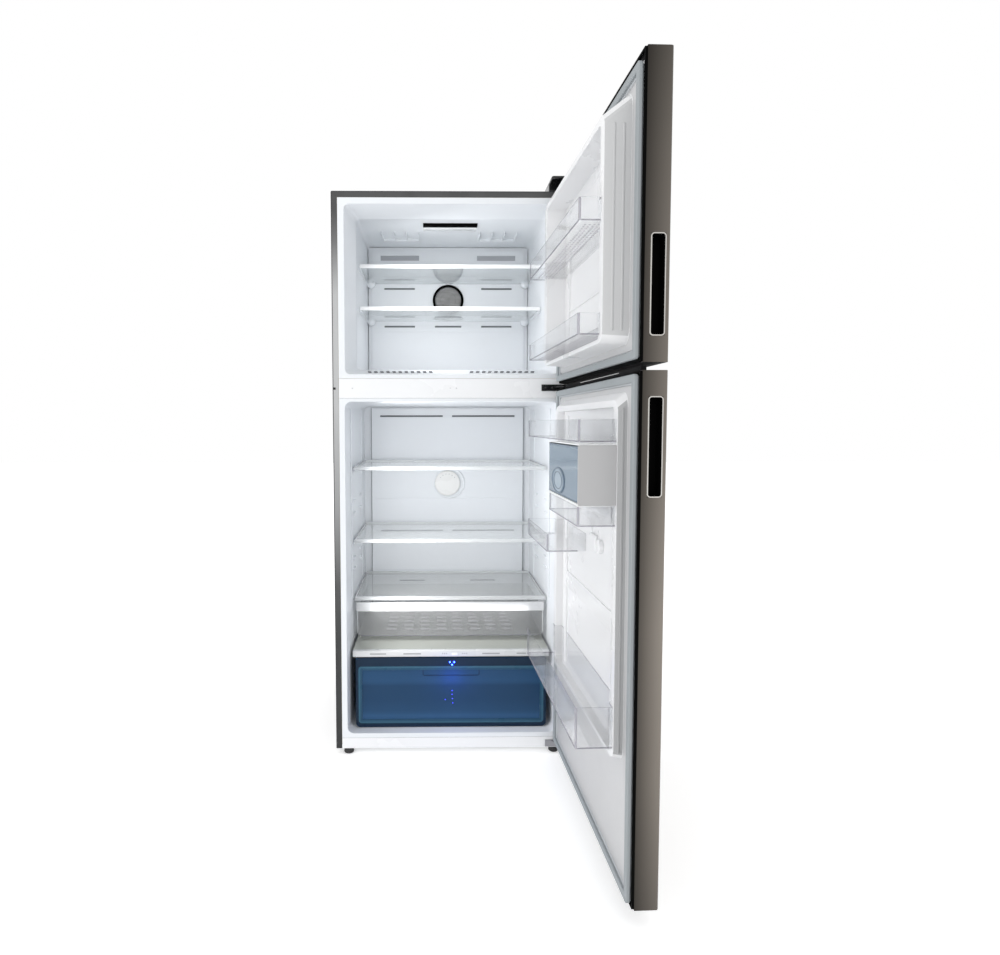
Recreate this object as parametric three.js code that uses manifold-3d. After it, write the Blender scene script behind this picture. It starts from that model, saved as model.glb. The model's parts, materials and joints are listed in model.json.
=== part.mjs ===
// Top freezer refrigerator: a foamed steel cabinet with two compartments, two doors that hang on
// pins at +X and face -Y, and the shelves, drawers and door bins inside.
// Millimetres, +Z up. The doors stand open. Everything is first placed in the cabinet's own
// coordinates (x from its middle plane, y from its front plane into its depth, z from the floor),
// and the finished group is moved so that its origin is under the middle of its box.
import * as THREE from "three";
import { mergeVertices } from "three/addons/utils/BufferGeometryUtils.js";
import Module from "manifold-3d";

const wasm = await Module();
wasm.setup();

// ---- driving dimensions ----

const AIR = 0.3; // kept between neighbouring pieces
const PAST = 5; // how far a cutter runs past what it cuts
const MERGE_WITHIN = 1e-4;
const ROUND_STEPS = 20; // sides of a full round piece
const CORNER_STEPS = 2; // half the steps in a rounded corner

const cabinet = { half: 350, depth: 625, bottom: 18, top: 1676.6, sheet: 2, flange: 18 };
const rearFace = [cabinet.depth - cabinet.sheet, cabinet.depth]; // the back panel's thickness
const insideHalf = cabinet.half - cabinet.sheet - AIR;
const flangeHalf = cabinet.half - cabinet.flange - AIR;
const flangeTop = cabinet.top - cabinet.flange - AIR;
const foamFront = cabinet.sheet + AIR;
const lining = 2.5; // wall of a moulded liner

const freezer = {
  mouth: { half: 313, low: 1148.2, high: 1640.4 },
  throat: { half: 287, low: 1167, high: 1619 },
  rear: { half: 279, low: 1167, high: 1619 },
  throatAt: 75,
  rearAt: 509,
  corner: 12,
};
const freezerCover = { at: 392, half: 268, step: 4, border: 7, lowGap: 1, highGap: 3 };
const freezerVents = [
  { x: [101, 236], z: 1581, tall: 18 },
  { x: [116, 224], z: 1475, tall: 8 },
  { x: [116, 224], z: 1344, tall: 8 },
];
const freezerMiddleVent = { x: [-47, 47], z: 1344, tall: 8 };
const fridge = {
  mouth: { half: 315, low: 64.5, high: 1068 },
  throat: { half: 312, low: 64.5, high: 1068 },
  rear: { half: 308.5, low: 64.5, high: 1066 },
  throatAt: 40,
  rearAt: 509,
  corner: 18,
};
const fridgeCover = { at: 501, half: 281, thick: 7.5, low: 278, high: 1060 };
const fridgeVents = [
  { x: [17, 250], z: 1031, tall: 8 },
  { x: [17, 250], z: 603.5, tall: 8 },
  { x: [84, 181], z: 414, tall: 8 },
];
const ventReach = 20; // half the depth that a vent's cutter runs
const hump = { front: 410, top: 275 }; // the rise in the fridge floor over the compressor bay
const mullion = { low: 1078.3, high: 1136, return: 14, sheet: 1.5 };
const rail = { top: 50.7, depth: 25, sheet: 2 };
const bay = { front: 430, top: 242, sheet: 2 }; // compressor bay behind the base pan's riser
const bayVents = { reach: 240, pitch: 40, half: 5, z: [90, 190] };
const gland = { x: -300, z: 60, radius: 14, bore: 5, proud: 4 }; // where the mains cord leaves
const roller = { radius: 14, half: 9, x: 290, y: 585, bore: 4, axle: 3.5, slotHalf: 12, slotReach: 18 };
const cheek = { thick: 3, half: 12, low: 8, high: 30, axlePast: 2 }; // the plates that hold a roller
const foot = { x: 313, y: 16, radius: 15, bevel: 3, rim: 8, top: 15.4 };
const footNeck = { waist: 9, waistAt: 11, stem: 5, stemAt: 12 };
const compressor = { x: -110, y: 528, radius: 78, low: 38, high: 202, leg: 10, legTop: 33 };
const mountPlate = { x: 100, y: 70, z: [32, 41], legX: 85, legY: 55 };
const pipe = {
  radius: 4,
  steps: 30,
  route: [
    [-30, 528, 120],
    [30, 528, 122],
    [70, 500, 150],
    [120, 470, 190],
    [200, 468, 212],
    [280, 480, 214],
  ],
};
const fan = {
  z: 1434,
  rim: 54,
  dish: 46,
  blade: { count: 5, reach: 46, thick: 1.6, chord: 24, pitch: 0.5, root: 10, y: 412 },
  hub: { radius: 14, half: 8, bore: 3.5, boreFrom: 4 },
  motor: { y: [430, 464], radius: 28, shaft: 3 },
  stay: { half: 60, z: 8, footZ: 4, thick: 6, overlap: 4 },
  window: { count: 6, at: 30, radius: 9 },
};
const coil = { fins: 12, pitch: 42, finHalf: 0.6, y: [422, 488], z: [1200, 1370] };
const coilPipe = { reach: 236, half: 4, y: [438, 472], z: [1225, 1285, 1345] };
const lamp = { half: 84, y: [114, 184], thick: 6, lensHalf: 80, lensY: [117, 152], lensThick: 8 };
const filter = { z: 782, radius: 47, hole: 48, proud: 10, wall: 3, seat: 3.5, grip: 24, gripHalf: 3 };

const freezerShelf = { front: 125, rear: 386, half: 281, plate: [5, 9], rearLip: 8, tops: [1497, 1367.5] };
const fridgeShelf = { front: 132, rear: 495, half: 307, tops: [867.5, 635.5, 449.5] };
const trim = { height: 12, depth: 15, side: 5, ledge: 2.5, glass: 4, sunk: 1, round: 3 };
const ledge = { thick: 8, reach: 6, inset: 20 }; // the liner's shelf ledges
const bin = { wall: 2.2, corner: 8 };
const tray = { front: 132, rear: 470, half: 301, low: 321, high: 431, tubHigh: 410 };
const trayBar = { low: 402, depth: 10 };
const lid = { front: 40, rear: 495, half: 303, low: 285, high: 305, plate: 8, border: 16 };
const lidBar = { depth: 20, plateFrom: 10, round: 4 };
const lidGlass = { front: 22, thick: 4, ledge: 4 };
const slider = { track: 42, half: 9, rest: 11, z: [291, 299], proud: 2.5, depth: 3 };
const crisper = { front: 38, rear: 404, half: 294, low: 66, high: 284.4, wall: 3, corner: 14 };
const pull = { half: 90, low: 232, high: 262, depth: 22 };

const hinge = { x: 336, y: -32, pin: 4, bush: 5, arm: 3, sunk: 10, plate: [-3.3, -0.3] };
const hingeEnd = 345; // how far the hinge plates reach towards +X
const hingeArm = [
  [hingeEnd, -1],
  [300, -1],
  [324, -40],
  [hingeEnd, -40],
];
const openAngle = THREE.MathUtils.degToRad(91.6);
const door = { half: 350, inner: -15, outer: -64.4, sheet: 1.5, fold: 14, corner: 7, cap: 14 };
const freezerDoor = { low: 1118.5, high: 1695, sealLow: 1125, sealHigh: 1672, grip: [1168, 1357] };
const fridgeDoor = { low: 44, high: 1103.6, sealLow: 52, sealHigh: 1097, grip: [863, 1054] };
const topPlate = { x: [292, 346], y: [8, 78], rise: 4, z: freezerDoor.high + 2 };
const topArm = { x: 312, tipX: 326, tipY: -42 };
const topCover = { x: [284, 349.5], y: [-46, 84], behind: 1.5, wall: 2.5, round: 8, top: 1705 };
const middlePlate = { x: 266, z: [1099, 1118], arm: [1109, 1112] };
const bottomPlate = { x: 285, z: [21, 41], arm: [38, 41] };
const seal = { outer: 340, width: 16, neck: 7, face: -0.6, bulb: 9, gap: 4 };
const panel = { sheet: 2, half: 318, face: -8, back: -19, corner: 12 };
const ring = { half: 290, width: 28, bar: 12, wall: 2.5, corner: 30, innerCorner: 6, hook: 4, hookReach: 8 };
const pocket = { depth: 28, front: -55, back: -27, wall: 2 };

const freezerRing = { z: [1160, 1622], face: 46 };
const freezerDepths = [panel.face + AIR, freezerRing.face + AIR, 91];
const freezerBins = [
  { name: "freezer_door_bin_upper", x: [-275, 275], z: [1401, 1446], depths: freezerDepths },
  { name: "freezer_door_bin_lower", x: [-275, 275], z: [1179, 1222], depths: freezerDepths },
];
const fridgeRing = { z: [315, 1050], face: 12 };
const fridgeDepths = [panel.face + AIR, fridgeRing.face + AIR, 90];
const fridgeBins = [
  { name: "door_bin_top", x: [-285, 285], z: [966.5, 1012], depths: fridgeDepths },
  { name: "door_bin_under_box", x: [-285, -8], z: [797, 837], depths: fridgeDepths },
  { name: "door_bin_half", x: [13, 283], z: [689, 733], depths: fridgeDepths },
  {
    name: "door_bin_bottom",
    x: [-285, 285],
    z: [341, 427],
    depths: fridgeDepths,
    notch: { x: [-20, 285 + PAST], drop: 12 },
  },
];
const chillBox = { x: [-285, -6], z: [838, 962], wall: 2.5, lidSheet: 3, lidLow: 845, lidHigh: 956 };
const lidHinge = { y: 86, z: 953.5, pin: 2, bush: 2.4, barrel: 4.2, reach: 4 };
const dial = { x: -116, z: 880, radius: 26, proud: 2.5 };

// ---- finishes ----

const FINISH = {
  caseGrey: [0x4b4c4f, 0.45, 0.6],
  stainless: [0x8a8178, 0.4, 0.8],
  galvanised: [0x9ea2a6, 0.5, 0.8],
  white: [0xf1f3f5, 0.35, 0],
  whiteSteel: [0xf4f5f6, 0.3, 0],
  blackPlastic: [0x17181a, 0.45, 0],
  gasket: [0xaeb5bc, 0.7, 0],
  foam: [0xd9c98f, 0.9, 0],
  clear: [0xe9eef2, 0.15, 0],
  glass: [0xdfe9e6, 0.08, 0],
  tintedBlue: [0x8fa9bd, 0.15, 0],
  crisperBlue: [0x2d5f8c, 0.2, 0],
  boxGrey: [0xc3c4c5, 0.45, 0],
  steelCap: [0x77797a, 0.3, 0.8],
  aluminium: [0xb9bcc0, 0.4, 0.9],
  compressorBlack: [0x1d1f22, 0.5, 0.3],
  zinc: [0x6f7276, 0.4, 0.9],
  rubber: [0x202122, 0.85, 0],
  copper: [0xb06a42, 0.35, 0.9],
};

// ---- solids ----

function solid(geometry) {
  geometry.deleteAttribute("normal");
  geometry.deleteAttribute("uv");
  const merged = mergeVertices(geometry, MERGE_WITHIN);
  const corners = Array.from(merged.index.array);
  const kept = [];
  for (let i = 0; i < corners.length; i += 3) {
    const [a, b, c] = corners.slice(i, i + 3);
    if (a !== b && b !== c && c !== a) {
      kept.push(a, b, c);
    }
  }
  return new wasm.Manifold(
    new wasm.Mesh({
      numProp: 3,
      vertProperties: Float32Array.from(merged.attributes.position.array),
      triVerts: Uint32Array.from(kept),
    }),
  );
}

function joined(...pieces) {
  return pieces.reduce((whole, piece) => whole.add(piece));
}

function cut(body, ...cutters) {
  return cutters.reduce((rest, cutter) => rest.subtract(cutter), body);
}

function block([x0, x1], [y0, y1], [z0, z1]) {
  const geometry = new THREE.BoxGeometry(x1 - x0, y1 - y0, z1 - z0);
  return solid(geometry.translate((x0 + x1) / 2, (y0 + y1) / 2, (z0 + z1) / 2));
}

function extruded(shape, length) {
  const options = { depth: length, bevelEnabled: false, curveSegments: CORNER_STEPS };
  return new THREE.ExtrudeGeometry(shape, options);
}

// A shape drawn in x and y, standing from z0 to z1.
function prismZ(shape, [z0, z1]) {
  return solid(extruded(shape, z1 - z0).translate(0, 0, z0));
}

// A shape drawn in x and z, running from y0 to y1.
function prismY(shape, [y0, y1]) {
  return solid(extruded(shape, y1 - y0).rotateX(Math.PI / 2).translate(0, y1, 0));
}

// A shape drawn in y and z, running from x0 to x1.
function prismX(shape, [x0, x1]) {
  const turn = new THREE.Matrix4().makeBasis(
    new THREE.Vector3(0, 1, 0),
    new THREE.Vector3(0, 0, 1),
    new THREE.Vector3(1, 0, 0),
  );
  return solid(extruded(shape, x1 - x0).applyMatrix4(turn).translate(x0, 0, 0));
}

function outline(points) {
  return new THREE.Shape(points.map(([a, b]) => new THREE.Vector2(a, b)));
}

function roundRect([a0, a1], [b0, b1], r) {
  const shape = new THREE.Shape();
  shape.absarc(a1 - r, b0 + r, r, -Math.PI / 2, 0);
  shape.absarc(a1 - r, b1 - r, r, 0, Math.PI / 2);
  shape.absarc(a0 + r, b1 - r, r, Math.PI / 2, Math.PI);
  shape.absarc(a0 + r, b0 + r, r, Math.PI, 1.5 * Math.PI);
  return shape;
}

// A rectangle whose two corners at b0 are rounded.
function frontRounded([a0, a1], [b0, b1], r) {
  const shape = new THREE.Shape();
  shape.absarc(a0 + r, b0 + r, r, Math.PI, 1.5 * Math.PI);
  shape.absarc(a1 - r, b0 + r, r, -Math.PI / 2, 0);
  shape.lineTo(a1, b1);
  shape.lineTo(a0, b1);
  return shape;
}

function rod(radius, length) {
  return new THREE.CylinderGeometry(radius, radius, length, ROUND_STEPS);
}

function rodX(y, z, radius, [x0, x1]) {
  return solid(rod(radius, x1 - x0).rotateZ(-Math.PI / 2).translate((x0 + x1) / 2, y, z));
}

function rodY(x, z, radius, [y0, y1]) {
  return solid(rod(radius, y1 - y0).translate(x, (y0 + y1) / 2, z));
}

function rodZ(x, y, radius, [z0, z1]) {
  return solid(rod(radius, z1 - z0).rotateX(Math.PI / 2).translate(x, y, (z0 + z1) / 2));
}

// A profile of [radius, height] from the axis round to the axis, turned about +Z.
function turned(profile, x, y) {
  const points = profile.map(([r, z]) => new THREE.Vector2(r, z));
  const geometry = new THREE.LatheGeometry(points, ROUND_STEPS);
  return solid(geometry.rotateX(Math.PI / 2).translate(x, y, 0));
}

// A rounded section that changes evenly from one size at y0 to another at y1.
function funnel(from, to, [y0, y1], radius) {
  const shape = roundRect([-from.half, from.half], [from.low, from.high], radius);
  const geometry = extruded(shape, y1 - y0).rotateX(Math.PI / 2).translate(0, y1, 0);
  const spots = geometry.attributes.position;
  for (let i = 0; i < spots.count; i += 1) {
    const along = (spots.getY(i) - y0) / (y1 - y0);
    const rise = (spots.getZ(i) - from.low) / (from.high - from.low);
    const low = THREE.MathUtils.lerp(from.low, to.low, along);
    const high = THREE.MathUtils.lerp(from.high, to.high, along);
    const half = THREE.MathUtils.lerp(from.half, to.half, along);
    spots.setX(i, (spots.getX(i) / from.half) * half);
    spots.setZ(i, THREE.MathUtils.lerp(low, high, rise));
  }
  return solid(geometry);
}

function grown(section, by) {
  return { half: section.half + by, low: section.low - by, high: section.high + by };
}

function mesh(name, body, finish) {
  const shape = body.getMesh();
  const geometry = new THREE.BufferGeometry();
  geometry.setAttribute("position", new THREE.BufferAttribute(shape.vertProperties, 3));
  geometry.setIndex(new THREE.BufferAttribute(shape.triVerts, 1));
  const [color, roughness, metalness] = FINISH[finish];
  const material = new THREE.MeshStandardMaterial({ color, roughness, metalness });
  const piece = new THREE.Mesh(geometry, material);
  piece.name = name;
  return piece;
}

// ---- cabinet shell ----

function outerCase() {
  const { half, bottom, top, sheet, flange } = cabinet;
  const rear = rearFace[0] - AIR;
  const wrap = block([-half, half], [0, rear], [bottom, top]);
  const inside = block([sheet - half, half - sheet], [sheet, rear + PAST], [bottom - PAST, top - sheet]);
  const opening = block([flange - half, half - flange], [-PAST, PAST], [bottom - PAST, top - flange]);
  return cut(wrap, inside, opening);
}

function backPanel() {
  const { half, top } = cabinet;
  return block([-half, half], rearFace, [bay.top, top]);
}

function bayCover() {
  const plate = block([-cabinet.half, cabinet.half], rearFace, [cabinet.bottom, bay.top - AIR]);
  const through = [rearFace[0] - PAST, rearFace[1] + PAST];
  const { reach, pitch, half: slotHalf, z } = bayVents;
  const slots = [];
  for (let x = -reach; x <= reach; x += pitch) {
    slots.push(block([x - slotHalf, x + slotHalf], through, z));
  }
  const bush = rodY(gland.x, gland.z, gland.radius, [rearFace[0], rearFace[1] + gland.proud]);
  const bore = rodY(gland.x, gland.z, gland.bore, through);
  return cut(joined(plate, bush), bore, ...slots);
}

function basePan() {
  const { bottom } = cabinet;
  const { front, top, sheet } = bay;
  const rear = rearFace[0] - AIR;
  const section = outline([
    [rail.depth + AIR, bottom],
    [rear, bottom],
    [rear, bottom + sheet],
    [front + sheet, bottom + sheet],
    [front + sheet, top - sheet],
    [rear, top - sheet],
    [rear, top],
    [front, top],
    [front, bottom + sheet],
    [rail.depth + AIR, bottom + sheet],
  ]);
  const wells = [];
  const holders = [];
  for (const x of [-roller.x, roller.x]) {
    wells.push(rollerWell(x));
    holders.push(rollerHolder(x));
  }
  return joined(cut(prismX(section, [-insideHalf, insideHalf]), ...wells), ...holders);
}

function rollerWell(x) {
  const { y, slotHalf, slotReach } = roller;
  const { bottom } = cabinet;
  return block([x - slotHalf, x + slotHalf], [y - slotReach, y + slotReach], [bottom - PAST, bottom + PAST]);
}

// Two cheeks beside a roller with its axle between them.
function rollerHolder(x) {
  const { y, radius, axle, slotHalf } = roller;
  const span = [y - cheek.half, y + cheek.half];
  const height = [cheek.low, cheek.high];
  const far = slotHalf + cheek.thick;
  const reach = slotHalf + cheek.axlePast;
  return joined(
    block([x - far, x - slotHalf], span, height),
    block([x + slotHalf, x + far], span, height),
    rodX(y, radius, axle, [x - reach, x + reach]),
  );
}

function rearRoller(x) {
  const wheel = rodX(roller.y, roller.radius, roller.radius, [x - roller.half, x + roller.half]);
  const reach = roller.half + PAST;
  return cut(wheel, rodX(roller.y, roller.radius, roller.bore, [x - reach, x + reach]));
}

function frontFoot(x) {
  const { radius, bevel, rim, top } = foot;
  const { waist, waistAt, stem, stemAt } = footNeck;
  const profile = [
    [0, 0],
    [radius - bevel, 0],
    [radius, bevel],
    [radius, rim],
    [waist, waistAt],
    [stem, stemAt],
    [stem, top],
    [0, top],
  ];
  return turned(profile, x, foot.y);
}

function bottomRail() {
  const { sheet, depth, top } = rail;
  const { bottom } = cabinet;
  const face = block([-flangeHalf, flangeHalf], [0, sheet], [bottom, top - AIR]);
  const under = block([-flangeHalf, flangeHalf], [0, depth], [bottom, bottom + sheet]);
  return joined(face, under);
}

function mullionCover() {
  const { low, high, sheet } = mullion;
  const whole = block([-flangeHalf, flangeHalf], [0, mullion.return], [low, high]);
  const inside = block(
    [-flangeHalf - PAST, flangeHalf + PAST],
    [sheet, mullion.return + PAST],
    [low + sheet, high - sheet],
  );
  return cut(whole, inside);
}

// ---- liners and foam ----

// The hollow of a compartment, or with grow its outer shape. lead opens it past the front plane.
function cavity(room, grow, lead) {
  const mouth = grown(room.mouth, grow);
  const throat = grown(room.throat, grow);
  const radius = room.corner + grow;
  const neck = room.throatAt + grow;
  return joined(
    funnel(mouth, mouth, [-lead, AIR], radius),
    funnel(mouth, throat, [0, neck], radius),
    funnel(throat, grown(room.rear, grow), [neck, room.rearAt + grow], radius),
  );
}

function freezerCavity(grow, lead) {
  return cavity(freezer, grow, lead);
}

function fridgeCavity(grow, lead) {
  const rise = block([-cabinet.half, cabinet.half], [hump.front + grow, cabinet.depth], [0, hump.top - grow]);
  return cut(cavity(fridge, grow, lead), rise);
}

function liner(hollow, [low, high], ledges) {
  const flange = block([-flangeHalf, flangeHalf], [0, cabinet.sheet], [low, high]);
  const shell = cut(joined(hollow(lining, 0), flange), hollow(0, PAST));
  return joined(shell, joined(...ledges).intersect(hollow(lining / 2, 0)));
}

// A ledge on each side wall under every shelf; drop is from the shelf's top down to the ledge.
function ledgesFor(room, shelf, drop) {
  const ledges = [];
  for (const top of shelf.tops) {
    const high = top - drop - AIR;
    const inner = shelf.half - ledge.reach;
    const outer = room.mouth.half + 2 * PAST;
    const along = [shelf.front + ledge.inset, shelf.rear - ledge.inset];
    ledges.push(block([-outer, -inner], along, [high - ledge.thick, high]));
    ledges.push(block([inner, outer], along, [high - ledge.thick, high]));
  }
  return ledges;
}

function freezerLiner() {
  const ledges = ledgesFor(freezer, freezerShelf, trim.height);
  return liner(freezerCavity, [mullion.high + AIR, flangeTop], ledges);
}

function fridgeLiner() {
  const ledges = ledgesFor(fridge, fridgeShelf, trim.height);
  const carriers = ledgesFor(fridge, { ...lid, tops: [lid.low, tray.low] }, 0);
  return liner(fridgeCavity, [rail.top, mullion.low - AIR], [...ledges, ...carriers]);
}

function cabinetFoam() {
  const { half, depth, sheet, bottom, top } = cabinet;
  const across = [-half, half];
  const around = block(
    [-insideHalf, insideHalf],
    [foamFront, rearFace[0] - AIR],
    [bottom + sheet + AIR, top - sheet - AIR],
  );
  const bayRoom = block(across, [bay.front - AIR, depth], [0, bay.top + AIR]);
  const railRoom = block(across, [-PAST, rail.depth + AIR], [0, rail.top]);
  const mullionRoom = block(
    [-flangeHalf - AIR, flangeHalf + AIR],
    [-PAST, mullion.return + AIR],
    [mullion.low - AIR, mullion.high + AIR],
  );
  const room = lining + AIR;
  return cut(around, bayRoom, railRoom, mullionRoom, freezerCavity(room, PAST), fridgeCavity(room, PAST));
}

// ---- freezer compartment ----

// The cutters of a row of vents: one slot, or the same slot on both sides.
function slot({ x: [x0, x1], z, tall }, y) {
  return block([x0, x1], [y - ventReach, y + ventReach], [z - tall / 2, z + tall / 2]);
}

function pairs(vents, y) {
  return vents.flatMap((vent) => [slot(vent, y), slot({ ...vent, x: [-vent.x[1], -vent.x[0]] }, y)]);
}

function freezerBackCover() {
  const { at, half: reach, step, border, lowGap, highGap } = freezerCover;
  const { low, high, half: wallHalf } = freezer.rear;
  const face = roundRect([-reach, reach], [low + lowGap, high - highGap], freezer.corner);
  const rim = roundRect([-wallHalf, wallHalf], [low + AIR, high - AIR], freezer.corner);
  const raised = prismY(face, [at, at + step]);
  const plate = prismY(rim, [at + step, at + border]);
  const fanHole = rodY(0, fan.z, fan.rim + AIR, [at - PAST, at + border + PAST]);
  return cut(joined(raised, plate), ...pairs(freezerVents, at), slot(freezerMiddleVent, at), fanHole);
}

function fanCap() {
  const { at, border, step } = freezerCover;
  const { count, at: spread, radius } = fan.window;
  const disc = rodY(0, fan.z, fan.rim, [at - step, at + border]);
  const dish = rodY(0, fan.z, fan.dish, [at, at + border + PAST]);
  const windows = [];
  for (let i = 0; i < count; i += 1) {
    const turn = (i * 2 * Math.PI) / count;
    const x = spread * Math.cos(turn);
    const z = fan.z + spread * Math.sin(turn);
    windows.push(rodY(x, z, radius, [at - step - PAST, at + border]));
  }
  return cut(disc, dish, ...windows);
}

function fanBlade() {
  const { count, reach, thick, chord, pitch, root, y } = fan.blade;
  const { radius, half: hubHalf, bore, boreFrom } = fan.hub;
  const hub = rodY(0, fan.z, radius, [y - hubHalf, y + hubHalf]);
  const blades = [];
  for (let i = 0; i < count; i += 1) {
    const blade = new THREE.BoxGeometry(reach - root, thick, chord);
    blade.rotateX(pitch);
    blade.translate((root + reach) / 2, 0, 0);
    blade.rotateY((i * 2 * Math.PI) / count);
    blade.translate(0, y, fan.z);
    blades.push(solid(blade));
  }
  return cut(joined(hub, ...blades), rodY(0, fan.z, bore, [y - boreFrom, y + hubHalf + PAST]));
}

function fanMotor() {
  const { y: [y0, y1], radius, shaft } = fan.motor;
  const { half: reach, z, footZ, thick, overlap } = fan.stay;
  const stayEnd = y1 - overlap + thick;
  return joined(
    rodY(0, fan.z, radius, [y0, y1]),
    rodY(0, fan.z, shaft, [fan.blade.y - fan.hub.boreFrom / 2, y0 + 1]),
    block([-reach, reach], [y1 - overlap, stayEnd], [fan.z - z, fan.z + z]),
    block([-reach, reach], [stayEnd, freezer.rearAt - AIR], [fan.z - footZ, fan.z + footZ]),
  );
}

function evaporator() {
  const { fins, pitch, finHalf, y: finY, z: finZ } = coil;
  const { reach, half: thick, y: rows, z: levels } = coilPipe;
  const pieces = [];
  for (let i = 0; i < fins; i += 1) {
    const x = (i - (fins - 1) / 2) * pitch;
    pieces.push(block([x - finHalf, x + finHalf], finY, finZ));
  }
  for (const z of levels) {
    for (const y of rows) {
      pieces.push(block([-reach, reach], [y - thick, y + thick], [z - thick, z + thick]));
    }
  }
  return joined(...pieces);
}

function freezerLamp() {
  const high = freezer.throat.high - AIR;
  const bezel = block([-lamp.half, lamp.half], lamp.y, [high - lamp.thick, high]);
  const lens = block([-lamp.lensHalf, lamp.lensHalf], lamp.lensY, [high - lamp.lensThick, high]);
  return joined(bezel, lens);
}

function freezerShelfPlate(top) {
  const { front, rear, half: reach, plate, rearLip } = freezerShelf;
  const low = top - trim.height;
  const ends = [-reach, reach];
  const sheet = block(ends, [front + plate[0], rear], [top - plate[1], top - plate[0]]);
  const lip = prismX(roundRect([front, front + trim.depth], [low, top], trim.round), ends);
  const back = block(ends, [rear - rearLip, rear], [low, top]);
  return joined(sheet, lip, back);
}

// ---- fridge compartment ----

function fridgeAirDuct() {
  const { at, half: reach, thick, low, high } = fridgeCover;
  const plate = block([-reach, reach], [at, at + thick], [low, high]);
  const filterHole = rodY(0, filter.z, filter.hole, [at - PAST, at + filter.seat + AIR]);
  return cut(plate, ...pairs(fridgeVents, at), filterHole);
}

function filterCap() {
  const { at } = fridgeCover;
  const { z, radius, proud, wall, seat, grip, gripHalf } = filter;
  const disc = rodY(0, z, radius, [at - proud, at + seat]);
  const hollow = rodY(0, z, radius - wall, [at - proud + wall, at + PAST]);
  const bar = block([-grip, grip], [at - proud, at - gripHalf], [z - gripHalf, z + gripHalf]);
  return joined(cut(disc, hollow), bar);
}

function shelfFrame(top) {
  const { front, rear, half: reach } = fridgeShelf;
  const { height, depth, side, ledge: seatLedge, glass, sunk, round } = trim;
  const low = top - height;
  const ends = [-reach, reach];
  const nose = prismX(roundRect([front, front + depth], [low, top], round), ends);
  const plate = block(ends, [front + depth / 2, rear], [low, top]);
  const seat = block(
    [side - reach, reach - side],
    [front + depth, rear - depth / 2],
    [top - glass - sunk - AIR, top + PAST],
  );
  const window = block(
    [side + seatLedge - reach, reach - side - seatLedge],
    [front + depth + seatLedge, rear - depth / 2 - seatLedge],
    [low - PAST, top + PAST],
  );
  return cut(joined(nose, plate), seat, window);
}

function shelfGlass(top) {
  const { front, rear, half: reach } = fridgeShelf;
  const { depth, side, glass, sunk } = trim;
  return block(
    [side + AIR - reach, reach - side - AIR],
    [front + depth + AIR, rear - depth / 2 - AIR],
    [top - glass - sunk, top - sunk],
  );
}

function chillerTray() {
  const { front, rear, half: reach, low, high, tubHigh } = tray;
  const { wall, corner } = bin;
  const tubFront = front + wall;
  const tub = prismZ(roundRect([-reach, reach], [tubFront, rear], corner), [low + AIR, tubHigh]);
  const room = prismZ(
    roundRect([wall - reach, reach - wall], [tubFront + wall, rear - wall], corner - wall),
    [low + AIR + wall, high],
  );
  const bar = block([-reach, reach], [front, front + trayBar.depth], [trayBar.low, high]);
  return joined(cut(tub, room), bar);
}

function crisperLidFrame() {
  const { front, rear, half: reach, low, high, plate, border } = lid;
  const { depth, plateFrom, round } = lidBar;
  const { front: glassFrom, thick: glass, ledge: seatLedge } = lidGlass;
  const ends = [-reach, reach];
  const nose = prismX(roundRect([front, front + depth], [low + AIR, high], round), ends);
  const sheet = block(ends, [front + plateFrom, rear], [high - plate, high]);
  const seat = block(
    [border - reach, reach - border],
    [front + glassFrom, rear - border],
    [high - glass - AIR, high + PAST],
  );
  const inset = border + seatLedge;
  const window = block(
    [inset - reach, reach - inset],
    [front + glassFrom + seatLedge, rear - inset],
    [low - PAST, high + PAST],
  );
  const track = block([-slider.track, slider.track], [front - PAST, front + slider.depth], slider.z);
  return cut(joined(nose, sheet), seat, window, track);
}

function humiditySlider() {
  const { rest, half: reach, proud, depth, z: [low, high] } = slider;
  return block(
    [rest - reach, rest + reach],
    [lid.front - proud, lid.front + depth - AIR],
    [low + AIR, high - AIR],
  );
}

function crisperLidGlass() {
  const { front, rear, half: reach, high, border } = lid;
  return block(
    [border + AIR - reach, reach - border - AIR],
    [front + lidGlass.front + AIR, rear - border - AIR],
    [high - lidGlass.thick, high],
  );
}

function crisperDrawer() {
  const { front, rear, half: reach, low, high, wall, corner } = crisper;
  const tub = prismZ(roundRect([-reach, reach], [front, rear], corner), [low, high - 3 * AIR]);
  const room = prismZ(
    roundRect([wall - reach, reach - wall], [front + wall, rear - wall], corner - wall),
    [low + wall, high + PAST],
  );
  const grip = block([-pull.half, pull.half], [front, front + pull.depth], [pull.low, pull.high]);
  const scoop = block(
    [wall - pull.half, pull.half - wall],
    [front - PAST, front + pull.depth - wall],
    [pull.low + wall, pull.high - wall],
  );
  return cut(joined(cut(tub, room), grip), scoop);
}

// ---- compressor bay ----

function compressorShell() {
  const { x, y, radius, low, high, leg, legTop } = compressor;
  const profile = [
    [0, low],
    [radius - 14, low + 2],
    [radius, low + 18],
    [radius, high - 50],
    [radius - 14, high - 18],
    [radius - 44, high - 4],
    [0, high],
  ];
  const plate = block(
    [x - mountPlate.x, x + mountPlate.x],
    [y - mountPlate.y, y + mountPlate.y],
    mountPlate.z,
  );
  const legs = [];
  for (const dx of [-mountPlate.legX, mountPlate.legX]) {
    for (const dy of [-mountPlate.legY, mountPlate.legY]) {
      legs.push(rodZ(x + dx, y + dy, leg, [cabinet.bottom + bay.sheet + AIR, legTop]));
    }
  }
  return joined(turned(profile, x, y), plate, ...legs);
}

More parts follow.
